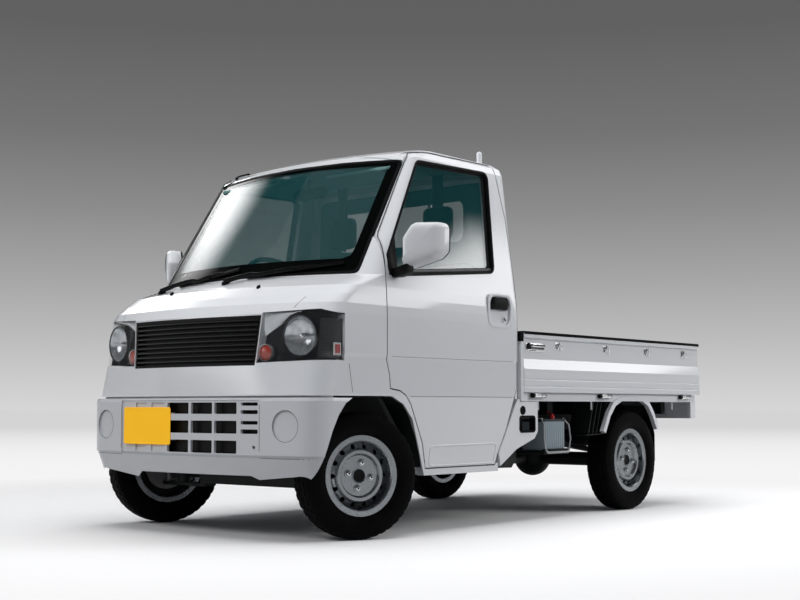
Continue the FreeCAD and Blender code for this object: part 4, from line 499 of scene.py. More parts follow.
class Form:
    """Vertices and faces gathered for one piece."""

    def __init__(self) -> None:
        """Start empty."""
        self.verts: list[Vector] = []
        self.faces: list[tuple[int, ...]] = []

    def rings(self, rings: Sequence[Sequence[Point]], loop: bool = True, closed: bool = False,
              caps: bool = True) -> "Form":
        """Skin over a row of rings that have as many points each.

        Args:
            rings: The rings in order.
            loop: Whether each ring closes on itself.
            closed: Whether the last ring joins the first.
            caps: Whether flat faces close the two ends.

        Returns:
            This form.
        """
        base, count = len(self.verts), len(rings[0])
        if any(len(ring) != count for ring in rings):
            raise ValueError("the rings have unequal numbers of points")
        for ring in rings:
            self.verts.extend(Vector(point) for point in ring)
        for row in range(len(rings) if closed else len(rings) - 1):
            here, there = base + row * count, base + (row + 1) % len(rings) * count
            for index in range(count if loop else count - 1):
                after = (index + 1) % count
                self.faces.append((here + index, here + after, there + after, there + index))
        if caps and loop and not closed:
            last = base + (len(rings) - 1) * count
            self.faces.append(tuple(base + index for index in reversed(range(count))))
            self.faces.append(tuple(last + index for index in range(count)))
        return self

    def sheet(self, place: Callable[[float, float], Point], wide: int, tall: int) -> "Form":
        """Open sheet whose points come from the shares across and up."""
        rows = [[place(step / wide, row / tall) for step in range(wide + 1)] for row in range(tall + 1)]
        return self.rings(rows, loop=False, caps=False)

    def box(self, low: Point, high: Point) -> "Form":
        """Box between its lowest and highest corner."""
        (a, b, c), (d, e, f) = low, high
        return self.rings([[(a, b, z), (d, b, z), (d, e, z), (a, e, z)] for z in (c, f)])

    def tube(self, path: Sequence[Point], radius: Union[float, Sequence[float]], sides: int = 12,
             closed: bool = False) -> "Form":
        """Round bar along a path.

        Args:
            path: Its centre points.
            radius: Its radius, or one radius a point.
            sides: Corners of its section.
            closed: Whether the path is a loop.

        Returns:
            This form.
        """
        points = [Vector(point) for point in path]
        sizes = radius if isinstance(radius, (list, tuple)) else [radius] * len(points)
        rings, side = [], None
        for index, point in enumerate(points):
            before = points[index - 1] if index or closed else point
            after = points[(index + 1) % len(points)] if index < len(points) - 1 or closed else point
            along = (after - before).normalized()
            side = along.orthogonal() if side is None else side - along * side.dot(along)
            side = side.normalized()
            up = along.cross(side)
            rings.append([point + sizes[index] * (math.cos(turn) * side + math.sin(turn) * up)
                          for turn in circle(sides)])
        return self.rings(rings, closed=closed)

    def ribbon(self, path: Sequence[tuple[Vector, Vector]], section: Outline,
               closed: bool = False) -> "Form":
        """Strip with a section that lies on a surface.

        Args:
            path: Points with the surface's normal at each.
            section: Section points: across the path and out of the surface.
            closed: Whether the path is a loop.

        Returns:
            This form.
        """
        rings = []
        count = len(path)
        for index, (point, normal) in enumerate(path):
            before = path[index - 1][0] if index or closed else point
            after = path[(index + 1) % count][0] if index < count - 1 or closed else point
            across = (after - before).normalized().cross(normal).normalized()
            rings.append([point + across * side + normal * out for side, out in section])
        return self.rings(rings, closed=closed)

    def lathe(self, profile: Outline, centre: Point, axis: Point, steps: int = 48,
              closed: bool = False) -> "Form":
        """Turned solid.

        Args:
            profile: Points as distance along the axis and radius.
            centre: Where the distance along the axis is zero.
            axis: The axis of turning.
            steps: Steps in a full turn.
            closed: Whether the profile is a loop, as for a ring.

        Returns:
            This form.
        """
        middle, along = Vector(centre), Vector(axis).normalized()
        side = along.orthogonal().normalized()
        up = along.cross(side)
        base, count = len(self.verts), len(profile)
        self.rings([[middle + along * far + (math.cos(turn) * side + math.sin(turn) * up) * radius
                     for far, radius in profile] for turn in circle(steps)],
                   loop=closed, closed=True, caps=False)
        for slot in () if closed else (0, count - 1):
            if profile[slot][1] > 1e-6:
                self.faces.append(tuple(base + row * count + slot for row in range(steps)))
        return self

    def plate(self, outline: Sequence[Point], push: Point) -> "Form":
        """Plate over an outline, as thick as the push."""
        start = [Vector(point) for point in outline]
        return self.rings([start, [point + Vector(push) for point in start]])

    def mirrored(self, both: bool = True) -> "Form":
        """This form's copy on the vehicle's other side.

        Args:
            both: Whether this form itself is joined to the copy.

        Returns:
            The new form.
        """
        made = Form()
        for factor in (1, -1) if both else (-1,):
            base = len(made.verts)
            made.verts.extend(Vector((vert.x * factor, vert.y, vert.z)) for vert in self.verts)
            made.faces.extend(tuple(base + index for index in face) for face in self.faces)
        return made

    def piece(self, name: str, look: Look, body: str = "chassis", slot: str = "", bevel: float = 0.0,
              steps: int = 2, smooth: float = 40.0) -> bpy.types.Object:
        """Make the Blender object and let it ride on its body.

        Args:
            name: The piece's name.
            look: Its finish.
            body: The CAD body that carries it.
            slot: The record's material slot, if it isn't the finish's own; not used.
            bevel: Width by which sharp edges are rounded.
            steps: Segments of that rounding.
            smooth: Edges under this angle are shaded smooth, in degrees.

        Returns:
            The new object.
        """
        mesh = bpy.data.meshes.new(name)
        mesh.from_pydata([tuple(vert) for vert in self.verts], [], self.faces)
        work = bmesh.new()
        work.from_mesh(mesh)
        bmesh.ops.remove_doubles(work, verts=work.verts, dist=1e-6)
        bmesh.ops.recalc_face_normals(work, faces=work.faces)
        limit = math.radians(smooth)
        if bevel:
            sharp = [edge for edge in work.edges
                     if len(edge.link_faces) == 2 and edge.calc_face_angle(0.0) > limit]
            bmesh.ops.bevel(work, geom=sharp, offset=bevel, segments=steps, profile=0.5, affect="EDGES",
                            clamp_overlap=True)
        for face in work.faces:
            face.smooth = True
        for edge in work.edges:
            edge.smooth = len(edge.link_faces) == 2 and edge.calc_face_angle(0.0) < limit
        work.to_mesh(mesh)
        work.free()
        made = bpy.data.objects.new(name, mesh)
        bpy.context.scene.collection.objects.link(made)
        mesh.materials.append(look.material())
        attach(made, body)
        LOG.info("%s: %d faces on %s", name, len(mesh.polygons), body)
        return made

    def pair(self, name: str, look: Look, body: str, **more: float) -> list[bpy.types.Object]:
        """The left piece from this form and the right one from its copy, each on its side's body."""
        forms = {"left": self, "right": self.mirrored(False)}
        return [form.piece(f"{name}_{side}", look, f"{body}_{side}", **more) for side, form in forms.items()]


class Skin:
    """Outer surface of some CAD nodes, on which trim is laid."""

    def __init__(self, *names: str) -> None:
        """Gather the meshes of the named CAD nodes."""
        verts, faces = [], []
        for name in names:
            mesh, base = frame["nodes"][name].data, len(verts)
            verts.extend(vert.co.copy() for vert in mesh.vertices)
            faces.extend(tuple(base + index for index in face.vertices) for face in mesh.polygons)
        self.tree = BVHTree.FromPolygons(verts, faces)

    def reach(self, y: float, z: float) -> Optional[float]:
        """How far out the left side stands at a place, if anything is there."""
        found = self.tree.ray_cast(Vector((2.0, y, z)), Vector((-1, 0, 0)))[0]
        return found and found.x

    def hit(self, start: Point, way: Point) -> tuple[Vector, Vector]:
        """Where a ray first meets the surface.

        Args:
            start: Where the ray starts.
            way: Which way it goes.

        Returns:
            The point and the surface's normal, turned against the ray.
        """
        point, normal, _, _ = self.tree.ray_cast(Vector(start), Vector(way))
        if point is None:
            raise ValueError(f"nothing of the surface lies on the ray from {tuple(start)}")
        return point, -normal if normal.dot(Vector(way)) > 0 else normal

    def left(self, y: float, z: float) -> tuple[Vector, Vector]:
        """The left side's surface at a place seen from the left."""
        return self.hit((2.0, y, z), (-1, 0, 0))

    def front(self, x: float, z: float) -> tuple[Vector, Vector]:
        """The front's surface at a place seen from ahead."""
        return self.hit((x, -3.0, z), (0, 1, 0))

    def top(self, x: float, y: float) -> tuple[Vector, Vector]:
        """The top's surface at a place seen from above."""
        return self.hit((x, y, 3.0), (0, 0, -1))


def rounded(corners: Outline, radius: float, steps: int = 6, spacing: float = 0.04) -> list:
    """Closed flat outline with rounded corners and points along its sides.

    Args:
        corners: Corners in order.
        radius: Radius of the rounding.
        steps: Steps of each rounding.
        spacing: Longest distance between points on a side.

    Returns:
        The points of the outline.
    """
    count, arcs, found = len(corners), [], []
    for index in range(count):
        here = Vector(corners[index])
        before, after = Vector(corners[index - 1]) - here, Vector(corners[(index + 1) % count]) - here
        reach = min(radius / math.tan(before.angle(after) / 2), before.length * 0.49, after.length * 0.49)
        start, end = here + before.normalized() * reach, here + after.normalized() * reach
        arcs.append([tuple((1 - t) ** 2 * start + 2 * t * (1 - t) * here + t * t * end)
                     for t in (step / steps for step in range(steps + 1))])
    for index, arc in enumerate(arcs):
        start, end = Vector(arc[-1]), Vector(arcs[(index + 1) % count][0])
        pieces = int((end - start).length / spacing)
        found.extend(arc + [tuple(start.lerp(end, step / pieces)) for step in range(1, pieces)])
    return found


def window(left: float, right: float, low: float, high: float, radius: float, steps: int = 8,
           spacing: float = 0.05) -> list:
    """Rounded rectangle between two sides and two levels."""
    return rounded(((left, low), (right, low), (right, high), (left, high)), radius, steps, spacing)


def shrunk(corners: Outline, inset: Union[float, Sequence[float]]) -> list:
    """A flat outline moved inward, each side by its own inset.

    Args:
        corners: Corners in order.
        inset: How far inward, for all sides or for each side from its first corner.

    Returns:
        The moved corners.
    """
    count = len(corners)
    insets = inset if isinstance(inset, tuple) else (inset,) * count
    area = sum(corners[i][0] * corners[(i + 1) % count][1] - corners[(i + 1) % count][0] * corners[i][1]
               for i in range(count))
    lines, moved = [], []
    for index in range(count):
        start = Vector(corners[index])
        along = (Vector(corners[(index + 1) % count]) - start).normalized()
        inward = Vector((-along.y, along.x)) * (1 if area > 0 else -1)
        lines.append((start + inward * insets[index], along))
    for index in range(count):
        (p, d), (q, e) = lines[index - 1], lines[index]
        moved.append(tuple(p + d * (((q.x - p.x) * e.y - (q.y - p.y) * e.x) / (d.x * e.y - d.y * e.x))))
    return moved


def matched(outer: Outline, inner: Outline, middle: tuple[float, float]) -> list:
    """Points of an inner outline on the rays towards the outer points.

    Args:
        outer: Points of the outer outline.
        inner: Points of the inner outline.
        middle: Where the rays start.

    Returns:
        One inner point for each outer point.
    """
    centre = Vector(middle)
    found = []
    for point in outer:
        ray, best = Vector(point) - centre, None
        for index in range(len(inner)):
            a = Vector(inner[index]) - centre
            side = Vector(inner[(index + 1) % len(inner)]) - centre - a
            cross = ray.x * side.y - ray.y * side.x
            if abs(cross) < 1e-12:
                continue
            t, s = (a.x * side.y - a.y * side.x) / cross, (a.x * ray.y - a.y * ray.x) / cross
            if t > 0 and -1e-6 <= s <= 1 + 1e-6:
                best = centre + ray * t
        found.append(tuple(best))
    return found


def strip(half: float, out: float, sink: float = 0.003) -> Outline:
    """Section of a flat strip with softened edges.

    Args:
        half: Half its width.
        out: How far it stands out.
        sink: How far it goes under the surface.

    Returns:
        The section's points.
    """
    soft = min(half * 0.5, out)
    return [(-half, 0.0), (-half + soft * 0.3, out * 0.75), (-half + soft, out), (half - soft, out),
            (half - soft * 0.3, out * 0.75), (half, 0.0), (half, -sink), (-half, -sink)]


# Studio

@dataclass
class Studio:
    """Floor, background, lamps and camera."""

    focal: float = 59.863
    place: tuple[float, float, float] = (4.4837, -5.5701, 0.5623)
    pitch: float = 94.590
    heading: float = 39.947
    room: float = 0.27

    @staticmethod
    def put(name: str, data: bpy.types.ID, place: Point = (0, 0, 0),
            turn: Optional[Point] = None) -> bpy.types.Object:
        """Link a new object at its place.

        Args:
            name: Its name.
            data: Its data.
            place: Where it stands.
            turn: Its turn about the three axes, if it has one.

        Returns:
            The object.
        """
        made = bpy.data.objects.new(name, data)
        made.location = place
        if turn is not None:
            made.rotation_euler = turn
        bpy.context.scene.collection.objects.link(made)
        return made

    def camera(self) -> None:
        """Set the camera at the photograph's viewing angle."""
        data = bpy.data.cameras.new("camera")
        data.lens, data.sensor_width, data.clip_end = self.focal, 36.0, 400.0
        turn = (math.radians(self.pitch), 0.0, math.radians(self.heading))
        bpy.context.scene.camera = self.put("camera", data, self.place, turn)

    def floor(self) -> None:
        """Pale floor that keeps the shadow and turns greyer far away, where it meets the backdrop."""
        material, graph = new_material("studio_floor")
        x, y, _ = graph.axes()
        far = (x * x + y * y).maths("SQRT")
        seen = self.seen(graph)
        pale = graph.mix(graph.noise(0.5, 2.0) * 0.03, (0.92, 0.912, 0.916), (0.86, 0.855, 0.858))
        near = graph.node("ShaderNodeBsdfPrincipled", None,
                          {"Base Color": graph.mix(seen, (0.22, 0.22, 0.225), pale), "Roughness": 0.8,
                           "Specular IOR Level": 0.05})
        glow = graph.node("ShaderNodeEmission", None, {
            "Color": graph.mix(far.between(3.0, 34.0), (0.915, 0.905, 0.910), (0.665, 0.657, 0.662))})
        share = far.between(2.0, 4.8) * seen
        graph.end(graph.node("ShaderNodeMixShader", None, {0: share, 1: near, 2: glow}))
        turns = circle(96)
        form = Form().rings([[(radius * math.cos(turn), radius * math.sin(turn), -0.0005) for turn in turns]
                             for radius in (3.0, 8.0, 20.0, 60.0, 190.0)], caps=False)
        form.faces.append(tuple(range(len(turns))))
        mesh = bpy.data.meshes.new("floor")
        mesh.from_pydata([tuple(vert) for vert in form.verts], [], form.faces)
        mesh.materials.append(material)
        self.put("floor", mesh)

    @staticmethod
    def seen(graph: Graph) -> Value:
        """One for what the camera sees, directly, mirrored or through glass."""
        rays = [graph.node("ShaderNodeLightPath", None, None, slot) for slot in (0, 3, 6)]
        return rays[0].maths("MAXIMUM", rays[1]).maths("MAXIMUM", rays[2])

    def world(self) -> None:
        """Backdrop that darkens upward, and an even room for the light itself."""
        world = bpy.data.worlds.new("studio")
        bpy.context.scene.world = world
        world.use_nodes = True
        graph = Graph(world.node_tree)
        height = graph.node("ShaderNodeSeparateXYZ", None, {0: graph.node("ShaderNodeTexCoord")}, 2)
        stops = [(place, (tone, tone, tone)) for place, tone in
                 ((0.0, 0.665), (0.05, 0.50), (0.095, 0.375), (0.145, 0.262), (0.20, 0.175), (0.275, 0.120),
                  (0.5, 0.085))]
        tone = graph.node("ShaderNodeValToRGB", {"stops": stops}, {0: height})
        shown = graph.node("ShaderNodeBackground", None, {0: tone})
        light = graph.node("ShaderNodeBackground", None, {0: (0.90, 0.95, 1.0), 1: self.room})
        graph.end(graph.node("ShaderNodeMixShader", None, {0: self.seen(graph), 1: light, 2: shown}),
                  "ShaderNodeOutputWorld")

    def card(self, name: str, place: Point, aim: Point, size: tuple[float, float], strength: float,
             mask: Callable[[Value, Value], Value]) -> None:
        """Add a glowing card that only shows in gloss.

        Args:
            name: Its name.
            place: Where it stands.
            aim: The point that it faces.
            size: Its width and height.
            strength: Its brightness.
            mask: Brightness share over its own two axes.
        """
        material, graph = new_material(name)
        across, up, _ = graph.axes()
        colour = graph.mix(mask(across, up), (0.0, 0.0, 0.0), (1.0, 1.0, 1.0))
        graph.principled(Base_Color=(0.0, 0.0, 0.0), Roughness=1.0, Specular_IOR_Level=0.0,
                         Emission_Color=colour, Emission_Strength=strength)
        wide, tall = size[0] / 2, size[1] / 2
        mesh = bpy.data.meshes.new(name)
        mesh.from_pydata([(-wide, -tall, 0), (wide, -tall, 0), (wide, tall, 0), (-wide, tall, 0)], [],
                         [(0, 1, 2, 3)])
        mesh.materials.append(material)
        made = self.put(name, mesh, place, self.facing(place, aim))
        for ray in ("camera", "diffuse", "transmission", "shadow", "volume_scatter"):
            setattr(made, f"visible_{ray}", False)

    @staticmethod
    def facing(place: Point, aim: Point) -> Point:
        """Turn that makes something at a place face an aim."""
        return (Vector(aim) - Vector(place)).to_track_quat("-Z", "Y").to_euler()

    def lamp(self, name: str, place: Point, aim: Point, size: tuple[float, float], power: float) -> None:
        """Add a softbox.

        Args:
            name: Its name.
            place: Where it stands.
            aim: The point that it faces.
            size: Its width and height.
            power: Its power in watts.
        """
        data = bpy.data.lights.new(name, "AREA")
        data.shape = "RECTANGLE"
        data.size, data.size_y = size
        data.energy = power
        made = self.put(name, data, place, self.facing(place, aim))
        made.visible_camera = made.visible_glossy = False

    @staticmethod
    def round_mask(across: Value, up: Value) -> Value:
        """Soft round card."""
        return 1.0 - (across * across + up * up).maths("SQRT").between(0.2, 1.7)

    @staticmethod
    def bar_mask(across: Value, up: Value) -> Value:
        """Soft wide bar."""
        return (1.0 - across.size().between(1.0, 1.8)) * (1.0 - up.size().between(0.5, 1.2))

    @staticmethod
    def slant_mask(across: Value, up: Value) -> Value:
        """Card with a crisp lower edge that slants down both ways from a peak, and a soft upper edge.

        Args:
            across: Place across the card.
            up: Place up the card.

        Returns:
            The brightness share.
        """
        run, height = 0.5 - across, up + 2.3
        low = (height - (2.15 - (run - 0.8).size() * 0.22)).between(0.0, 0.10)
        high = 1.0 - (height + (run - 0.78).size() * 0.4).between(2.75, 3.3)
        return low * high * run.between(-1.7, -0.5) * (1.0 - run.between(2.2, 2.6))

    def build(self) -> None:
        """Set up everything around the truck."""
        self.camera()
        self.floor()
        self.world()
        self.lamp("overhead", (0.0, 0.3, 5.2), (0.0, 0.3, 0.0), (4.5, 7.5), 275.0)
        self.lamp("side_wall", (6.0, 4.5, 4.2), (0.6, 0.2, 0.9), (4.0, 3.0), 262.0)
        self.lamp("front_fill", (0.0, -7.5, 5.5), (0.0, -1.0, 0.9), (4.0, 2.0), 185.0)
        for name, place, aim, size, strength, mask in (
                ("screen_card", (-4.3, 0.1, 3.95), (0.0, -1.1, 1.5), (5.0, 5.0), 5.6, self.round_mask),
                ("side_card", (3.72, 4.47, 2.3), (3.15, 3.65, 2.3), (4.4, 3.4), 3.7, self.slant_mask),
                ("roof_card", (2.8, 4.1, 4.9), (0.64, -0.6, 1.74), (3.6, 2.4), 2.4, self.bar_mask),
                ("front_card", (-3.9, -6.2, 2.3), (0.0, -1.6, 0.8), (4.0, 2.6), 3.0, self.bar_mask)):
            self.card(name, place, aim, size, strength, mask)
        bpy.context.scene.view_settings.view_transform = "Standard"


# Cab

@dataclass
class CabTrim:
    """Seals, borders, seams and small parts on the cab's skin."""

    screen: tuple = ((0.6387, 1.1428), (0.6048, 1.6981), (0.3024, 1.7070), (-0.3024, 1.7070),
                     (-0.6048, 1.6981), (-0.6387, 1.1428))
    screen_insets: tuple = (0.058, 0.030, 0.026, 0.030, 0.058, 0.072)
    window: tuple = ((-1.1491, 1.1392), (-1.1441, 1.2282), (-0.8719, 1.6910), (-0.3293, 1.7052),
                     (-0.3612, 1.2122))
    door_face: float = 0.7375

    def screen_border(self) -> None:
        """Black printed border on the windscreen and the rubber around it."""
        skin = Skin("windscreen")
        outer = rounded(shrunk(self.screen, 0.004), 0.030, 8, 0.03)
        inner = matched(outer, rounded(shrunk(self.screen, self.screen_insets), 0.034, 8, 0.02), (0.0, 1.42))
        middle = [tuple(Vector(a).lerp(Vector(b), 0.5)) for a, b in zip(outer, inner)]
        rings = [[point + normal * 0.0006 for point, normal in (skin.front(x, z) for x, z in line)]
                 for line in (outer, middle, inner)]
        Form().rings(rings, caps=False).piece("screen_border", Look.FRIT)
        path = [skin.front(x, z) for x, z in rounded(shrunk(self.screen, 0.006), 0.030, 8, 0.03)]
        Form().ribbon(path, strip(0.008, 0.003), True).piece("screen_rubber", Look.SEAL)

    def window_seals(self) -> None:
        """Rubber around each door window, with the black corner that carries the mirror."""
        skin = Skin("door_left", "door_glass_left")
        base, normal = Skin("door_glass_left").left(-0.7, 1.42)

        def on_pane(y: float, z: float, lift: float) -> Vector:
            """Point over the flat pane."""
            x = base.x - ((y - base.y) * normal.y + (z - base.z) * normal.z) / normal.x
            return Vector((x, y, z)) + normal * lift

        outline = rounded(shrunk(self.window, -0.002), 0.040, 8, 0.03)
        seal = Form().ribbon([skin.left(y, z) for y, z in outline], strip(0.006, 0.004, 0.022), True)
        outer = rounded(shrunk(self.window, 0.001), 0.036, 8, 0.03)
        inner = matched(outer, rounded(shrunk(self.window, (0.05, 0.013, 0.016, 0.030, 0.022)), 0.026,
                                       8, 0.03), (-0.72, 1.42))
        lip = Form().rings([[on_pane(y, z, lift) for y, z in line]
                            for line, lift in ((outer, 0.004), (inner, 0.004), (inner, 0.0002))], caps=False)
        corner = [(-1.150, 1.139), (-1.145, 1.232), (-1.086, 1.330), (-1.074, 1.322), (-1.092, 1.139)]
        sail = Form().plate([skin.left(y, z)[0] + Vector((0.004, 0, 0)) for y, z in corner], (-0.010, 0, 0))
        waist = Form().ribbon([(on_pane(-1.050 + 0.068 * i, 1.1620 + 0.0062 * i, 0.004), normal)
                               for i in range(11)], strip(0.006, 0.003))
        waist.pair("window_waist", Look.GREY_RUBBER, "door")
        seal.pair("window_seal", Look.SEAL, "door")
        lip.pair("window_lip", Look.TRIM, "door")
        sail.pair("mirror_corner", Look.TRIM, "door", bevel=0.002)

    def handles(self) -> None:
        """Door handles: rounded bezel, black pull in a recess and a key cylinder."""
        face, low, high = self.door_face, 0.940, 1.109
        outer = rounded(((-0.442, low), (-0.442, high), (-0.241, high), (-0.241, low)), 0.052, 8, 1.0)
        hole = rounded(((-0.426, low + 0.015), (-0.426, high - 0.014), (-0.257, high - 0.014),
                        (-0.257, low + 0.015)), 0.048, 8, 1.0)
        bezel = Form().rings([[(face + 0.0006, y, z) for y, z in outer],
                              [(face + 0.0022, y * 0.94 - 0.0204, z * 0.94 + 0.0615) for y, z in outer],
                              [(face + 0.0010, y, z) for y, z in hole],
                              [(face - 0.0110, y, z) for y, z in hole]], caps=False)
        floor = Form().plate([(face - 0.0110, y, z) for y, z in hole], (-0.0015, 0, 0))
        rows = []
        for share in (0.0, 0.12, 0.3, 0.5, 0.7, 0.88, 1.0):
            bulge = math.sin(math.pi * min(1.0, 0.15 + share * 0.8))
            inset = 0.020 * (1 - math.sin(math.pi * (0.12 + 0.76 * share)))
            edge, crown = face - 0.004 + 0.004 * bulge, face - 0.001 + 0.005 * bulge
            rows.append([(x, y, 1.030 + 0.060 * share) for x, y in (
                (face - 0.011, -0.420 + inset), (edge, -0.414 + inset), (crown, -0.38), (crown, -0.30),
                (edge, -0.270 - inset), (face - 0.011, -0.264 - inset))])
        pull = Form().rings(rows)
        lock = Form().lathe([(-0.010, 0.0), (-0.010, 0.011), (0.0, 0.011), (0.002, 0.009), (0.0005, 0.007),
                             (-0.002, 0.0065), (-0.002, 0.0)], (face - 0.003, -0.300, 0.983), (1, 0, 0), 28)
        key = Form().box((face - 0.0052, -0.3008, 0.9775), (face - 0.0042, -0.2992, 0.9885))
        bezel.pair("handle_bezel", Look.WHITE, "door")
        floor.pair("handle_floor", Look.WHITE, "door")
        pull.pair("handle_pull", Look.TRIM, "door", smooth=60)
        lock.pair("door_lock", Look.BRIGHT, "door")
        key.pair("door_keyway", Look.TRIM, "door")

    def door_gaps(self) -> None:
        """Dark rubber deep in the gap around each door, traced from the door's own outline."""
        skin = Skin("door_left", "door_glass_left")
        middle, path = Vector((-0.76, 0.95)), []
        for turn in circle(150):
            ray = Vector((math.cos(turn), math.sin(turn)))
            low, high = 0.25, 1.2
            for _ in range(16):
                reach = (low + high) / 2
                if skin.reach(*(middle + ray * reach)) is None:
                    high = reach
                else:
                    low = reach
            point, normal = skin.left(*(middle + ray * (low - 0.004)))
            path.append((Vector((point.x - 0.0022, *(middle + ray * (low + 0.0026)))), normal))
        gap = Form().ribbon(path, strip(0.0017, 0.0004, 0.004), True)
        gap.mirrored().piece("door_gap_rubber", Look.SEAM)

    def seams(self) -> None:
        """Shallow dark panel gaps on nose and bumper, the bead on each door, and grey strips of painted shade
        along each door's crease and groove.
        """
        nose, bumper, door = Skin("cab_front"), Skin("front_bumper"), Skin("door_left")
        form = Form()
        for path in ([nose.left(-1.424 + 0.0024 * i, 0.744 - 0.0120 * i) for i in range(11)],
                     [nose.front(0.563 + 0.0025 * i, 0.977 + 0.0062 * i) for i in range(9)],
                     [bumper.front(0.4545, 0.356 + 0.0235 * i) for i in range(11)],
                     [bumper.front(0.4545 + 0.0215 * i, 0.3475) for i in range(13)]):
            form.ribbon(path, strip(0.0012, 0.0004, 0.001))
        form.ribbon([bumper.front(0.589 + 0.0655 * math.cos(turn), 0.482 + 0.0655 * math.sin(turn))
                     for turn in circle(48)], strip(0.0009, 0.0004, 0.001), True)
        form.mirrored().piece("panel_gaps", Look.SEAM)
        outline = rounded(((-0.880, 0.297), (-0.868, 0.385), (-0.362, 0.389), (-0.388, 0.297)), 0.02, 6,
                          0.03)
        Form().ribbon([door.left(y, z) for y, z in outline], strip(0.004, 0.0022, 0.001), True).pair(
            "door_bead", Look.WHITE, "door")
        # Grey strips along the door's crease and groove are painted shade of the pressing.
        lines = Form()
        for start, stop, level in ((-1.010, -0.235, 0.608), (-1.150, -0.235, 0.781)):
            lines.ribbon([door.left(start + (stop - start) * i / 24, level) for i in range(25)],
                         strip(0.0016, 0.0004, 0.001))
        lines.pair("door_lines", Look.PRESSED, "door")

    def cowl(self) -> None:
        """Washer nozzles ahead of the windscreen and the roof aerial."""
        nose, roof = Skin("cab_front"), Skin("roof", "cab_front")
        form = Form()
        for x in (-0.288, 0.288):
            point, normal = nose.front(x, 1.082)
            form.lathe([(0.0, 0.0), (0.0, 0.010), (0.004, 0.0095), (0.008, 0.006), (0.010, 0.0)],
                       point, normal, 20)
            form.tube([point + normal * 0.005, point + normal * 0.008 + Vector((0, 0.012, 0.004))],
                      [0.006, 0.004], 10)
        form.piece("washer_nozzles", Look.TRIM)
        line = [roof.top(-0.52, -0.905 + 0.012 * i) for i in range(8)]
        aerial = Form().tube([point + normal * 0.009 for point, normal in line], 0.0042, 10)
        for point, normal in (line[0], line[-1]):
            aerial.lathe([(0.0, 0.0), (0.0, 0.009), (0.006, 0.008), (0.012, 0.005), (0.014, 0.0)],
                         point, normal, 20)
        aerial.piece("aerial", Look.TRIM)

    def build(self) -> None:
        """Build all cab trim."""
        for part in (self.screen_border, self.window_seals, self.handles, self.door_gaps, self.seams,
                     self.cowl):
            part()


@dataclass
class Wipers:
    """Two black wipers parked along the foot of the windscreen."""

    parks: tuple = (((0.008, 1.118), (0.560, 1.190)), ((-0.455, 1.100), (0.020, 1.186)))

    def build(self) -> None:
        """Build both wipers as one piece."""
        pane = Skin("windscreen", "cab_front")
        form = Form()
        for (x, z), (end_x, end_z) in self.parks:
            foot, normal = pane.front(x, z)
            form.lathe([(-0.004, 0.0), (-0.004, 0.020), (0.006, 0.019), (0.016, 0.013), (0.020, 0.0)],
                       foot, normal, 24)
            arm = []
            for share in (step / 8 for step in range(9)):
                point, out = pane.front(x + (end_x - x) * share * 0.62, z + (end_z - z) * share * 0.62)
                arm.append(point + out * (0.014 + 0.012 * math.sin(math.pi * share)))
            form.tube(arm, [0.012 - 0.005 * i / 8 for i in range(9)], 8)
            start = Vector((x + (end_x - x) * 0.16, z + (end_z - z) * 0.16 + 0.012))
            rows = [pane.front(*start.lerp(Vector((end_x, end_z)), step / 24)) for step in range(25)]
            form.ribbon(rows, [(-0.0090, 0.009), (-0.006, 0.016), (0.006, 0.016), (0.0090, 0.009),
                               (0.0020, 0.007), (0.0012, 0.001), (-0.0012, 0.001), (-0.0020, 0.007)])
            form.tube([rows[i][0] + rows[i][1] * (0.016 + 0.005 * math.sin(math.pi * (i - 6) / 12))
                       for i in range(6, 19)], 0.0055, 8)
        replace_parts(form.piece("wiper_arms", Look.TRIM), "wipers")


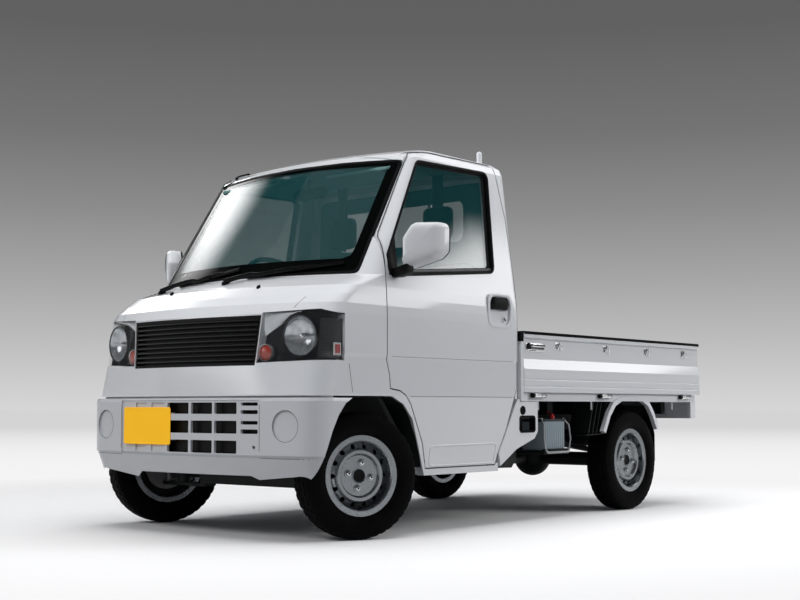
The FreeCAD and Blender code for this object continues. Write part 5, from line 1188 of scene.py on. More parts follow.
@dataclass
class DoorMirrors:
    """Painted door mirrors on black arms, swept back from the window's front corner."""

    front: tuple = ((0.772, -1.150), (0.9120, -1.046))
    back: tuple = ((0.779, -1.032), (0.9125, -0.958))
    corners: tuple = ((0.0, 1.172), (0.10, 1.175), (0.80, 1.210), (1.0, 1.243), (1.0, 1.352),
                      (0.90, 1.371), (0.26, 1.371), (0.0, 1.302))
    width: float = 0.172
    arm: tuple = ((0.700, -1.132, -1.092, 1.130, 1.166), (0.752, -1.136, -1.086, 1.130, 1.174),
                  (0.782, -1.130, -1.076, 1.138, 1.184), (0.796, -1.120, -1.070, 1.148, 1.190))

    def point(self, across: float, height: float, depth: float) -> Vector:
        """Point of the housing.

        Args:
            across: Distance from the inner end, along the face.
            height: Height above the ground.
            depth: Zero at the front face and one at the glass.

        Returns:
            The point.
        """
        near, far = (Vector(ends[0]).lerp(Vector(ends[1]), across / self.width)
                     for ends in (self.front, self.back))
        return near.lerp(far, depth).to_3d() + Vector((0, 0, height))

    def rings(self, rows: Outline) -> list[list[Vector]]:
        """Outlines of the housing at given depths, each moved inward."""
        corners = [(share * self.width, height) for share, height in self.corners]
        return [[self.point(x, z, depth) for x, z in rounded(shrunk(corners, inset), 0.030, 6, 1.0)]
                for depth, inset in rows]

    def build(self) -> None:
        """Build both mirrors."""
        shell = self.rings(((0.0, 0.034), (0.05, 0.018), (0.14, 0.008), (0.30, 0.002), (0.55, 0.0),
                            (0.88, 0.0)))
        first = shell[0]
        middle = sum(first, Vector()) / len(first)
        ahead = self.point(0.09, 1.28, -0.05) - self.point(0.09, 1.28, 0.0)
        for share in (0.80, 0.55, 0.25, 0.02):
            shell.insert(0, [middle.lerp(spot, share) + ahead * (1 - share ** 2) for spot in first])
        for made, side in zip(Form().rings(shell).pair("mirror_shell", Look.WHITE, "door", smooth=60),
                              ("left", "right")):
            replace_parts(made, f"mirror_{side}")
        Form().rings(self.rings(((0.96, 0.008), (0.975, 0.008)))).pair("mirror_face", Look.MIRROR, "door")
        rim = self.rings(((0.86, 0.002), (0.89, 0.0005), (0.99, 0.001), (1.0, 0.003), (1.0, 0.008),
                          (0.97, 0.009)))
        Form().rings(rim, caps=False).pair("mirror_rim", Look.TRIM, "door")
        arm = Form().rings([[(x, near, low), (x, far, low), (x, far, high), (x, near, high)]
                            for x, near, far, low, high in self.arm])
        arm.pair("mirror_arm", Look.TRIM, "door", bevel=0.006, steps=3)


# Front

@dataclass
class Nose:
    """Outer form of the nose, level by level, for what lies behind the lamp lenses.

    Each row holds the level, the centre's depth, and the places of the front arc's end and the side's start.
    """

    rows: tuple = ((0.6141, 1.6834, 0.6527, 1.6195, 0.7316, 1.5170),
                   (0.7707, 1.6750, 0.6379, 1.5960, 0.7331, 1.4818),
                   (0.7903, 1.6750, 0.6357, 1.5926, 0.7375, 1.4818),
                   (0.9576, 1.6666, 0.6306, 1.5775, 0.7375, 1.4700),
                   (1.0004, 1.6380, 0.6343, 1.5473, 0.7360, 1.4414),
                   (1.0395, 1.5977, 0.6343, 1.5002, 0.7331, 1.3978))

    def at(self, level: float) -> tuple[float, ...]:
        """Section values at a level.

        Args:
            level: Height above the ground.

        Returns:
            The row's values without the level, between the two nearest rows.
        """
        for low, high in zip(self.rows, self.rows[1:]):
            if level <= high[0]:
                break
        share = max(0.0, (level - low[0]) / (high[0] - low[0]))
        return tuple(a + (b - a) * share for a, b in zip(low[1:], high[1:]))

    def arc(self, x: float, level: float, inset: float = 0.0) -> tuple[float, float]:
        """The front arc at a distance from the centre line.

        Args:
            x: Distance from the centre line.
            level: Height.
            inset: How far inward of the surface.

        Returns:
            The arc's place along Y and its radius.
        """
        centre, edge_x, edge_y, _, _ = self.at(level)
        centre, edge_x, edge_y = inset - centre, edge_x - inset / 2, inset - edge_y
        radius = (edge_x ** 2 + (edge_y - centre) ** 2) / (2 * (edge_y - centre))
        return centre + radius - math.sqrt(radius ** 2 - x ** 2), radius

    def point(self, run: float, level: float, inset: float) -> Vector:
        """Point of the nose.

        Args:
            run: From zero on the centre line to one at the front arc's end, two at the side's start
                and on by metres along the side.
            level: Height.
            inset: How far inward of the surface.

        Returns:
            The point.
        """
        _, edge_x, edge_y, side_x, side_y = self.at(level)
        edge_x, side_x, edge_y, side_y = edge_x - inset / 2, side_x - inset, inset - edge_y, inset - side_y
        if run <= 1:
            return Vector((edge_x * run, self.arc(edge_x * run, level, inset)[0], level))
        if run > 2:
            return Vector((side_x, side_y + run - 2, level))
        radius = self.arc(0.0, level, inset)[1]
        pull = edge_y + (side_x - edge_x) * edge_x / math.sqrt(radius ** 2 - edge_x ** 2)
        t = run - 1
        start, bend, end = (1 - t) ** 2, 2 * t * (1 - t), t * t
        return Vector((start * edge_x + (bend + end) * side_x, start * edge_y + bend * pull + end * side_y,
                       level))

    def run_of(self, x: float, level: float) -> float:
        """Run along the nose at which the surface reaches x.

        Args:
            x: Distance from the centre line.
            level: Height.

        Returns:
            The run, on the front arc or the bend.
        """
        low, high = 0.0, 2.0
        for _ in range(30):
            middle = (low + high) / 2
            low, high = (middle, high) if self.point(middle, level, 0).x < x else (low, middle)
        return (low + high) / 2


@dataclass
class Headlamps:
    """What shows behind the lenses: silver wing, bowl with bulb, turn bulb, ribbed end, side marker."""

    nose: Nose
    bowl: tuple = (0.606, 0.858)
    bowl_radius: float = 0.080
    turn_bulb: tuple = (0.440, 0.790)
    marker: tuple = (-1.490, 0.803)

    @staticmethod
    def top_of(x: float) -> float:
        """Upper edge of the lamp at a place across."""
        return 0.9612 + (x - 0.421) * 0.0332 if x < 0.686 else 0.970 - (x - 0.686) * 0.298

    def base_point(self, share: float, up: float) -> Vector:
        """Point of the dark base, which dips behind the bowl and comes forward at its edges.

        Args:
            share: Share across the lamp.
            up: Share up the lamp.

        Returns:
            The point.
        """
        run = 0.633 + share * (2.012 - 0.633) if share < 0.9 else 1.874 + (share - 0.9) * 1.5
        flat = self.nose.point(run, 0.86, 0).x
        low = 0.7476 + 0.0104 * min(1.0, max(0.0, (flat - 0.402) / 0.33)) + 0.002
        level = low + (self.top_of(flat) - 0.002 - low) * up
        depth = 0.040
        if math.hypot(flat - self.bowl[0], level - self.bowl[1]) < self.bowl_radius + 0.006:
            depth = 0.058
        if up in (0, 1) or share in (0, 1):
            depth = 0.006
        return self.nose.point(run, level, depth)

    def wing_point(self, share: float, up: float) -> Vector:
        """Point of the silver wing, whose lower edge sweeps up and outward.

        Args:
            share: Share across the wing.
            up: Share up the wing.

        Returns:
            The point.
        """
        run = 0.640 + (0.955 - 0.640) * share
        x = self.nose.point(run, 0.86, 0).x
        low = 0.842 + 0.110 * min(1.0, max(0.0, (x - 0.404) / (0.600 - 0.404))) ** 0.75
        return self.nose.point(run, low + (self.top_of(x) - 0.003 - low) * up, 0.010 + 0.026 * (1 - up) ** 2)

    def end_point(self, share: float, up: float) -> Vector:
        """Point of the ribbed outer end.

        Args:
            share: Share across the end.
            up: Share up the end.

        Returns:
            The point.
        """
        level = 0.762 + (0.930 - 0.762) * up
        start, stop = self.nose.run_of(0.690, level), 2.0 - self.nose.point(2.0, level, 0).y - 1.458
        depth = 0.014 + 0.004 * math.sin(math.pi * share)
        return self.nose.point(start + (stop - start) * share, level, depth)

    def build(self) -> None:
        """Build both lamps."""
        nose = self.nose
        face = nose.point(nose.run_of(*self.bowl), self.bowl[1], 0.012)
        axis = Vector((0.16, -1.0, 0.0)).normalized()
        side = axis.orthogonal().normalized()
        up = axis.cross(side)
        rings = []
        for share, depth in ((1.08, 0.004), (1.0, 0.0), (0.985, -0.003), (0.86, -0.014), (0.68, -0.023),
                             (0.48, -0.029), (0.28, -0.032), (0.12, -0.033)):
            ring = []
            for step, turn in enumerate(circle(72)):
                facet = 1.0 + (0.030 if 0.3 < share < 0.98 and step % 6 < 3 else 0.0)
                reach = self.bowl_radius * share * facet
                ring.append(face + axis * depth + side * math.cos(turn) * reach + up * math.sin(turn) * reach)
            rings.append(ring)
        bowl = Form().rings(rings, caps=False)
        hood = Form().lathe([(-0.034, 0.0), (-0.034, 0.013), (-0.022, 0.013), (-0.014, 0.011),
                             (-0.009, 0.007), (-0.007, 0.0)], face, axis, 28)
        ring = Form().lathe([(-0.004, self.bowl_radius), (0.003, self.bowl_radius + 0.001),
                             (0.004, self.bowl_radius + 0.006), (-0.004, self.bowl_radius + 0.009)],
                            face, axis, 64, closed=True)
        spot = nose.point(nose.run_of(*self.turn_bulb), self.turn_bulb[1], 0.010)
        ahead = Vector((0.10, -1.0, 0.0))
        amber = Form().lathe([(-0.020, 0.0), (-0.020, 0.032), (-0.006, 0.032), (0.001, 0.027),
                              (0.005, 0.016), (0.006, 0.0)], spot, ahead, 40)
        cup = Form().lathe([(-0.016, 0.0325), (0.000, 0.0345), (0.001, 0.0360), (-0.018, 0.0360)], spot,
                           ahead, 40, closed=True)
        y, level = self.marker
        centre = Vector((nose.point(2.0, level, 0.010).x - 0.001, y, level))
        marker, bulb = (Form().box(centre + Vector(low), centre + Vector(high)) for low, high in (
            ((-0.004, -0.022, -0.026), (0.002, 0.020, 0.026)),
            ((0.001, -0.016, -0.019), (0.004, 0.014, 0.019))))
        for name, form, look in (("lamp_base", Form().sheet(self.base_point, 48, 24), Look.LAMP_BASE),
                                 ("lamp_wing", Form().sheet(self.wing_point, 30, 12), Look.WING),
                                 ("lamp_bowl", bowl, Look.BOWL), ("lamp_bulb", hood, Look.BRIGHT),
                                 ("lamp_ring", ring, Look.LAMP_BASE), ("turn_bulb", amber, Look.AMBER),
                                 ("turn_cup", cup, Look.CHROME),
                                 ("lamp_end", Form().sheet(self.end_point, 30, 20), Look.LAMP_DARK),
                                 ("side_marker", marker, Look.PALE), ("side_bulb", bulb, Look.RED)):
            made = form.mirrored().piece(name, look, smooth=35)
            if name == "lamp_base":
                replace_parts(made, "headlamps")


@dataclass
class FrontEnd:
    """Blank yellow plate on its bracket, a dark sheet of painted shade behind the bumper's slots, slats on
    the grille.
    """

    nose: Nose
    plate_left: tuple = (-0.088, -1.6947)
    plate_right: tuple = (-0.418, -1.6878)
    plate_low: float = 0.395
    plate_high: float = 0.560
    grille_low: float = 0.7490
    grille_high: float = 0.9385
    slats: int = 9

    def plate(self) -> None:
        """Front plate with rounded corners, and its bracket."""
        (left, near), (right, far) = self.plate_left, self.plate_right
        outline = window(left, right, self.plate_low, self.plate_high, 0.012, 6)
        mid_x, mid_z = (left + right) / 2, (self.plate_low + self.plate_high) / 2
        rings = [[(mid_x + (x - mid_x) * (1 - inset * 6),
                   near + (far - near) * (x - left) / (right - left) + back,
                   mid_z + (z - mid_z) * (1 - inset * 12)) for x, z in outline]
                 for inset, back in ((0.0, 0.0018), (0.0, 0.0004), (0.0015, 0.0), (0.006, 0.0),
                                     (0.0075, 0.0010))]
        Form().rings(rings).piece("front_plate", Look.PLATE, smooth=20)
        bracket = Form()
        for z in (0.432, 0.520):
            bracket.box((right + 0.02, far + 0.002, z - 0.016), (left + 0.012, far + 0.012, z + 0.016))
        bracket.piece("plate_bracket", Look.GREY)

    def grille(self) -> None:
        """Rounded slats laid over the grille's ledges, leaving its middle bare."""
        form = Form()
        pitch = (self.grille_high - self.grille_low) / self.slats
        for index in range(self.slats):
            level = self.grille_low + pitch * (index + 1) - 0.0055
            reach = 0.385 + 0.0135 * index / self.slats
            rows = []
            for x in (reach * (2 * step / 40 - 1) for step in range(41)):
                y = self.nose.arc(x, level)[0] + 0.006
                rows.append([(x, y + back, level + up) for back, up in (
                    (0.004, -0.005), (-0.0015, -0.0035), (-0.003, 0.0), (-0.0015, 0.0035), (0.004, 0.005),
                    (0.016, 0.003), (0.016, -0.003))])
            form.rings(rows)
        form.piece("grille_slats", Look.SATIN)

    def build(self) -> None:
        """Build the front fittings."""
        self.plate()
        self.grille()
        # A flat dark sheet behind the bumper's slots is painted shade of the space behind them.
        skin = Skin("front_bumper")
        line = [(0.46 * i / 20, skin.front(0.46 * i / 20, 0.350)[0].y + 0.034) for i in range(-20, 21)]
        Form().rings([[(x, y, z) for x, y in line] for z in (0.356, 0.420, 0.480, 0.540, 0.590)],
                     loop=False, caps=False).piece("bumper_mesh", Look.TRIM)
        joint = Form().sheet(lambda share, up: self.nose.point(1.985 * share, 0.596 + 0.040 * up, 0.0135),
                             40, 1)
        joint.mirrored().piece("bumper_joint", Look.BUMPER)


# Wheels

@dataclass
class Wheel:
    """One wheel: tyre with tread, nuts, bore cap, valve and a dark ring of painted shade behind its vents."""

    name: str
    centre: Vector
    axis: Vector
    radius: float = 0.270
    half: float = 0.0725
    bead: float = 0.1524
    flange: float = 0.172
    face: float = 0.032

    def at(self, across: float, reach: float, turn: float) -> Vector:
        """Point about the wheel's own axis.

        Args:
            across: Distance outward along the axis.
            reach: Distance from the axis.
            turn: Angle about the axis from straight up.

        Returns:
            The point.
        """
        up = Vector((0, 0, 1))
        spoke = up * math.cos(turn) + up.cross(self.axis) * math.sin(turn)
        return self.centre + self.axis * across + spoke * reach

    def tyre(self) -> None:
        """Tyre with bulged walls, wall lines, grooves and shoulder blocks."""
        depth, half, top = self.radius - self.bead, self.half, self.radius
        rings = []
        for step, turn in enumerate(circle(168)):
            cut = 0.0045 if step % 4 == 3 else 0.0
            slot = 0.004 if step % 4 == 1 else 0.0
            side = [(0.0508, self.bead + 0.0006), (0.0512, self.flange - 0.001),
                    (0.0560, self.flange + 0.004)]
            side += [(half * across, self.bead + depth * up) for across, up in (
                (0.93, 0.30), (0.975, 0.42), (0.985, 0.44), (1.0, 0.52), (0.992, 0.60), (0.975, 0.66),
                (0.972, 0.70), (0.955, 0.76), (0.900, 0.86))]
            side += [(half * across, top - down) for across, down in (
                (0.84, 0.0075 + cut * 0.6), (0.74, 0.0032 + cut), (0.60, 0.0010 + cut), (0.585, 0.0075),
                (0.50, 0.0075), (0.485, 0.0004 + slot), (0.20, 0.0001 + slot), (0.185, 0.0075),
                (0.10, 0.0075), (0.085, slot))]
            profile = side + [(-across, reach) for across, reach in reversed(side)]
            rings.append([self.at(across, reach, turn) for across, reach in profile])
        made = Form().rings(rings, closed=True).piece(f"tread_{self.name}", Look.TYRE, f"wheel_{self.name}",
                                                      smooth=32)
        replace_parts(made, f"tyre_{self.name}")

    def fittings(self) -> None:
        """Four nuts on raised seats, the raised rings, the dark bore, the valve and a dark ring of painted
        shade behind the vents.
        """
        nuts, dark, bright, face = Form(), Form(), Form(), self.face
        for turn in circle(4):
            spot = self.at(face, 0.055, turn + math.radians(10))
            bright.lathe([(0.0, 0.017), (0.0025, 0.016), (0.0035, 0.012), (0.0035, 0.0)], spot, self.axis,
                         24)
            nuts.lathe([(0.0, 0.0105), (0.012, 0.0105), (0.0145, 0.008), (0.0145, 0.0)], spot, self.axis, 6)
            dark.lathe([(0.0146, 0.0), (0.0146, 0.0045), (0.0150, 0.0)], spot, self.axis, 12)
        dark.lathe([(face - 0.007, 0.0285), (face - 0.003, 0.0285), (face - 0.005, 0.0)], self.centre,
                   self.axis, 36)
        for form, steps, profile in (
                # A dark ring behind the vents is painted shade of the space beyond them.
                (dark, 48, [(-0.002, 0.100), (0.000, 0.100), (0.000, 0.148), (-0.002, 0.148)]),
                (bright, 40, [(face - 0.002, 0.0282), (face + 0.002, 0.0290), (face + 0.003, 0.0320),
                              (face, 0.0335)]),
                (bright, 64, [(face - 0.003, 0.0845), (face + 0.0015, 0.0865), (face + 0.0015, 0.0895),
                              (face - 0.003, 0.0915)])):
            form.lathe(profile, self.centre, self.axis, steps, closed=True)
        dark.tube([self.at(0.034, 0.137, math.pi), self.at(0.058, 0.131, math.pi)], [0.0050, 0.0038], 10)
        for name, form, look, bevel in (("wheel_nuts", nuts, Look.BRIGHT, 0.0008),
                                        ("nut_seats", bright, Look.WHEEL, 0),
                                        ("wheel_darks", dark, Look.TRIM, 0)):
            form.piece(f"{name}_{self.name}", look, f"wheel_{self.name}", bevel=bevel)


def wheels() -> list[Wheel]:
    """The four wheels at their places, with outward axes.

    Returns:
        The wheels, from the frame's joints.
    """
    found = []
    for joint in frame["joints"]:
        if joint["child"].startswith("wheel_"):
            axis, centre = Vector(joint["axis"]).normalized(), Vector(joint["pos_m"])
            outward = axis * math.copysign(1, axis.x * centre.x)
            found.append(Wheel(joint["child"].removeprefix("wheel_"), centre, outward))
    return found


# Bed

@dataclass
class BedTrim:
    """Rubber on the rails, latches, rope rings, hinge sleeves and the lamps at the tail."""

    start: float = -0.142
    end: float = 1.692
    face: float = 0.7375
    hooks: tuple = (0.183, 0.648, 1.085, 1.516)
    hinges: tuple = (-0.00995, 0.6246, 1.5159)
    rail: tuple = ((0.0012, 0.9215), (0.0012, 0.9340), (-0.0040, 0.9372), (-0.0280, 0.9372),
                   (-0.0312, 0.9340),
                   (-0.0312, 0.9240))

    def rails(self) -> None:
        """Black rubber over the top of each gate, and the caps at the cab's end."""
        Form().rings([[(self.face + out, y, z) for out, z in self.rail]
                      for y in (self.start + 0.001, self.end - 0.001)]).pair(
            "rail_rubber", Look.RUBBER, "gate", bevel=0.0015)
        caps = Form().box((0.704, -0.1775, 0.884), (0.7395, -0.1475, 0.9345))
        caps.mirrored().piece("post_caps", Look.RUBBER, bevel=0.003)
        Form().rings([[(x, self.end + out, z) for out, z in self.rail] for x in (-0.700, 0.700)]).piece(
            "rail_rubber_tail", Look.RUBBER, "tailgate", bevel=0.0015)

    def latches(self) -> None:
        """Latch at the front end of each side gate: bright lever over a dark catch."""
        face = self.face - 0.0115
        bright, dark = Form(), Form()
        bright.box((face, -0.118, 0.836), (face + 0.0025, 0.052, 0.880))
        bright.box((face + 0.002, -0.062, 0.860), (face + 0.0085, 0.050, 0.876))
        bright.box((face + 0.002, -0.112, 0.838), (face + 0.006, -0.030, 0.846))
        dark.lathe([(0.0, 0.0), (0.0, 0.014), (0.008, 0.013), (0.010, 0.0)], (face + 0.002, -0.092, 0.866),
                   (1, 0, 0), 24)
        dark.box((face + 0.002, -0.110, 0.848), (face + 0.007, -0.068, 0.856))
        bright.pair("latch_plate", Look.BRIGHT, "gate", bevel=0.001)
        dark.pair("latch_catch", Look.TRIM, "gate")

    def fittings(self) -> None:
        """Rope rings on their plates, and hinge sleeves with dark pin ends."""
        rings, sleeves, pins, face = Form(), Form(), Form(), self.face - 0.012
        for y in self.hooks:
            rings.tube([(face + out, y + along, z) for out, along, z in (
                (0.0, -0.016, 0.852), (0.0095, -0.016, 0.858), (0.0105, -0.015, 0.876),
                (0.0105, -0.006, 0.886),
                (0.0105, 0.006, 0.886), (0.0105, 0.015, 0.876), (0.0095, 0.016, 0.850))], 0.0046, 10)
            rings.box((face - 0.001, y - 0.030, 0.846), (face + 0.002, y + 0.004, 0.890))
        for y in self.hinges:
            spot = (0.733, y, 0.618)
            sleeves.lathe([(-0.044, 0.0), (-0.044, 0.0105), (-0.042, 0.0115), (-0.016, 0.0115),
                           (-0.015, 0.0100),
                           (-0.013, 0.0115), (0.017, 0.0115), (0.019, 0.0100), (0.020, 0.0115),
                           (0.058, 0.0115), (0.060, 0.0100), (0.060, 0.0)], spot, (0, 1, 0), 24)
            pins.lathe([(-0.062, 0.0), (-0.062, 0.0110), (-0.060, 0.0122), (-0.045, 0.0122), (-0.044, 0.0)],
                       spot, (0, 1, 0), 24)
        rings.pair("rope_rings", Look.BRIGHT, "gate", bevel=0.0008)
        sleeves.pair("hinge_sleeves", Look.BRIGHT, "gate")
        pins.pair("hinge_pins", Look.TRIM, "gate")

    def tail(self) -> None:
        """Rear lamps in three fields."""
        for name, low, high, look in (("stop", 0.570, 0.650, Look.RED), ("turn", 0.508, 0.566, Look.AMBER),
                                      ("reverse", 0.442, 0.504, Look.PALE)):
            form = Form().box((low, 1.668, 0.506), (high, 1.6855, 0.578)).mirrored()
            made = form.piece(f"rear_lamp_{name}", look, slot="red_lens", bevel=0.004, steps=3)
            if name == "stop":
                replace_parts(made, "rear_lamps")
        base = Form().box((0.438, 1.6635, 0.502), (0.654, 1.672, 0.582)).mirrored()
        base.piece("rear_lamp_base", Look.TRIM, bevel=0.002)

    def skirt_rubbers(self) -> None:
        """Rubber frame of the opening behind each door and the plug above it."""
        outline = rounded(((-0.174, 0.441), (-0.174, 0.514), (-0.048, 0.514), (-0.048, 0.441)), 0.014, 6,
                          0.04)
        form = Form().ribbon([(Vector((0.732, y, z)), Vector((1, 0, 0))) for y, z in outline],
                             strip(0.006, 0.004, 0.028), True)
        form.lathe([(-0.010, 0.0), (-0.010, 0.022), (0.002, 0.022), (0.005, 0.018), (0.004, 0.010),
                    (0.002, 0.0)],
                   (0.732, -0.150, 0.545), (1, 0, 0), 28)
        form.mirrored().piece("skirt_rubbers", Look.RUBBER)

    def build(self) -> None:
        """Build the bed's trim."""
        for part in (self.rails, self.latches, self.fittings, self.tail, self.skirt_rubbers):
            part()


# Underside

@dataclass
class Underside:
    """Battery with its holder, splash panels and the liners of the front wheels' arches."""

    wheel: tuple = (-1.2695, 0.270)

    def battery(self) -> None:
        """Ribbed case with lid, tray, holder and red cap."""
        lid = Form().box((0.562, 0.076, 0.486), (0.7045, 0.271, 0.500))
        for y in (0.105, 0.150, 0.195, 0.240):
            lid.lathe([(0.0, 0.0), (0.0, 0.010), (0.005, 0.009), (0.006, 0.0)], (0.632, y, 0.500),
                      (0, 0, 1), 18)
        tray, holder = Form(), Form()
        for low, high in (((0.330, 0.062, 0.322), (0.716, 0.284, 0.336)),
                          ((0.706, 0.062, 0.330), (0.716, 0.284, 0.350)),
                          ((0.330, 0.077, 0.330), (0.345, 0.270, 0.436))):
            tray.box(low, high)
        made = Form().box((0.566, 0.080, 0.342), (0.704, 0.267, 0.492)).piece(
            "battery_box", Look.CASE, bevel=0.005, steps=3)
        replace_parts(made, "battery")
        lid.piece("battery_lid", Look.CABIN_DARK, bevel=0.003)
        tray.piece("battery_tray", Look.CHASSIS, bevel=0.002)
        for radius, path in (
                (0.004, ((0.722, 0.066, 0.345), (0.7215, 0.052, 0.400), (0.716, 0.058, 0.470),
                         (0.690, 0.074, 0.505))),
                (0.004, ((0.722, 0.280, 0.345), (0.7215, 0.294, 0.400), (0.716, 0.288, 0.470),
                         (0.690, 0.272, 0.505))),
                (0.006, ((0.722, 0.066, 0.345), (0.7225, 0.080, 0.332), (0.7225, 0.266, 0.332),
                         (0.722, 0.280, 0.345)))):
            holder.tube(path, radius, 10)
        holder.box((0.572, 0.070, 0.5005), (0.698, 0.078, 0.506))
        holder.piece("battery_holder", Look.GREY)
        cap = Form().lathe([(0.0, 0.0), (0.0, 0.014), (0.012, 0.013), (0.018, 0.008), (0.019, 0.0)],
                           (0.668, 0.205, 0.500), (0, 0, 1), 20)
        cap.tube([(0.668, 0.205, 0.512), (0.655, 0.230, 0.520), (0.620, 0.262, 0.524),
                  (0.580, 0.300, 0.536)],
                 0.006, 10)
        cap.piece("battery_cap", Look.CAP)

    def splash(self) -> None:
        """Dark splash panels under the skirts and ahead of the rear wheels, and the arch liners."""
        form = Form()
        near, far = 0.575, 0.705
        form.plate([(0.600, y, z) for y, z in ((-0.020, 0.300), (-0.020, 0.588), (-0.160, 0.588),
                                               (-0.300, 0.300),
                                               (-0.260, 0.262), (-0.060, 0.258))], (-0.006, 0, 0))
        form.plate([(near, 0.628, 0.421), (far, 0.628, 0.421), (far, 0.688, 0.590), (near, 0.688, 0.590)],
                   (0, -0.006, 0))
        form.plate([(near, 0.628, 0.421), (far, 0.628, 0.421), (far, 0.470, 0.415), (near, 0.470, 0.415)],
                   (0, 0, -0.006))
        skin, edge = Skin("side_frame_left", "door_left", "cab_front"), []
        for turn in (math.radians(4 + 104 * step / 28) for step in range(29)):
            ray, reach = Vector((math.cos(turn), math.sin(turn))), 0.29
            while reach < 0.50 and (skin.reach(*(Vector(self.wheel) + ray * reach)) or 0.0) <= 0.66:
                reach += 0.002
            edge.append(Vector(self.wheel) + ray * (reach - 0.0055))
        form.rings([[(x, *spot) for spot in edge] for x in (0.560, 0.640, 0.724)], loop=False, caps=False)
        for y in (0.50, 0.54, 0.58):
            form.plate([(near, y, 0.421), (0.700, y, 0.421), (0.700, y + 0.055, 0.586),
                        (near, y + 0.055, 0.586)],
                       (0, 0.010, 0))
        form.mirrored().piece("splash_panels", Look.CHASSIS, bevel=0.002)

    def build(self) -> None:
        """Build what shows below the bed."""
        self.battery()
        self.splash()


# Cabin

@dataclass
class Seat:
    """Padded cushion, backrest or head restraint."""

    name: str
    low: tuple[float, float, float]
    high: tuple[float, float, float]
    thin: int = 2
    swell: float = 0.012
    voxel: float = 0.007
    power: float = 5.0

    def shell(self) -> bpy.types.Object:
        """Closed crowned form whose sides pull in between its corners.

        Returns:
            The object before it is filled.
        """
        low, high = Vector(self.low), Vector(self.high)
        middle, half = (low + high) / 2, (high - low) / 2
        work = bmesh.new()
        bmesh.ops.create_cube(work, size=2.0)
        bmesh.ops.subdivide_edges(work, edges=work.edges, cuts=27, use_grid_fill=True)
        for vert in work.verts:
            co = vert.co / sum(abs(part) ** self.power for part in vert.co) ** (1 / self.power)
            pull = []
            for axis in range(3):
                wide = max(abs(co[k]) for k in range(3) if k != axis)
                pull.append(1.0 - 0.035 * (1 - wide ** 2) * (axis != self.thin))
            vert.co = Vector(tuple(middle[k] + co[k] * pull[k] * (half[k] - 0.004) for k in range(3)))
        mesh = bpy.data.meshes.new(self.name)
        work.to_mesh(mesh)
        work.free()
        made = bpy.data.objects.new(self.name, mesh)
        bpy.context.scene.collection.objects.link(made)
        return made

    def fill(self, made: bpy.types.Object) -> None:
        """Swell the pad with cloth under pressure, then cap how far it moved.

        Args:
            made: The pad.
        """
        remesh = made.modifiers.new("Remesh", "REMESH")
        remesh.mode = "VOXEL"
        remesh.voxel_size = self.voxel
        self.apply(made)
        start = [vert.co.copy() for vert in made.data.vertices]
        settings = made.modifiers.new("Cloth", "CLOTH").settings
        settings.use_pressure = True
        settings.uniform_pressure_force = 4.0
        settings.effector_weights.gravity = 0.0
        settings.quality = 4
        for step in range(1, 15):
            bpy.context.scene.frame_set(step)
        self.apply(made)
        bpy.context.scene.frame_set(1)
        for vert, before in zip(made.data.vertices, start):
            move = vert.co - before
            if move.length > self.swell:
                vert.co = before + move.normalized() * self.swell

    @staticmethod
    def apply(made: bpy.types.Object) -> None:
        """Turn the modifiers' result into the mesh itself.

        Args:
            made: The object.
        """
        graph = bpy.context.evaluated_depsgraph_get()
        mesh = bpy.data.meshes.new_from_object(made.evaluated_get(graph))
        made.modifiers.clear()
        made.data = mesh

    def build(self) -> bpy.types.Object:
        """Build the pad.

        Returns:
            The finished pad.
        """
        made = self.shell()
        self.fill(made)
        for face in made.data.polygons:
            face.use_smooth = True
        made.data.materials.clear()
        made.data.materials.append(Look.SEAT.material())
        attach(made, "chassis")
        LOG.info("%s: %d faces on chassis", self.name, len(made.data.polygons))
        return made


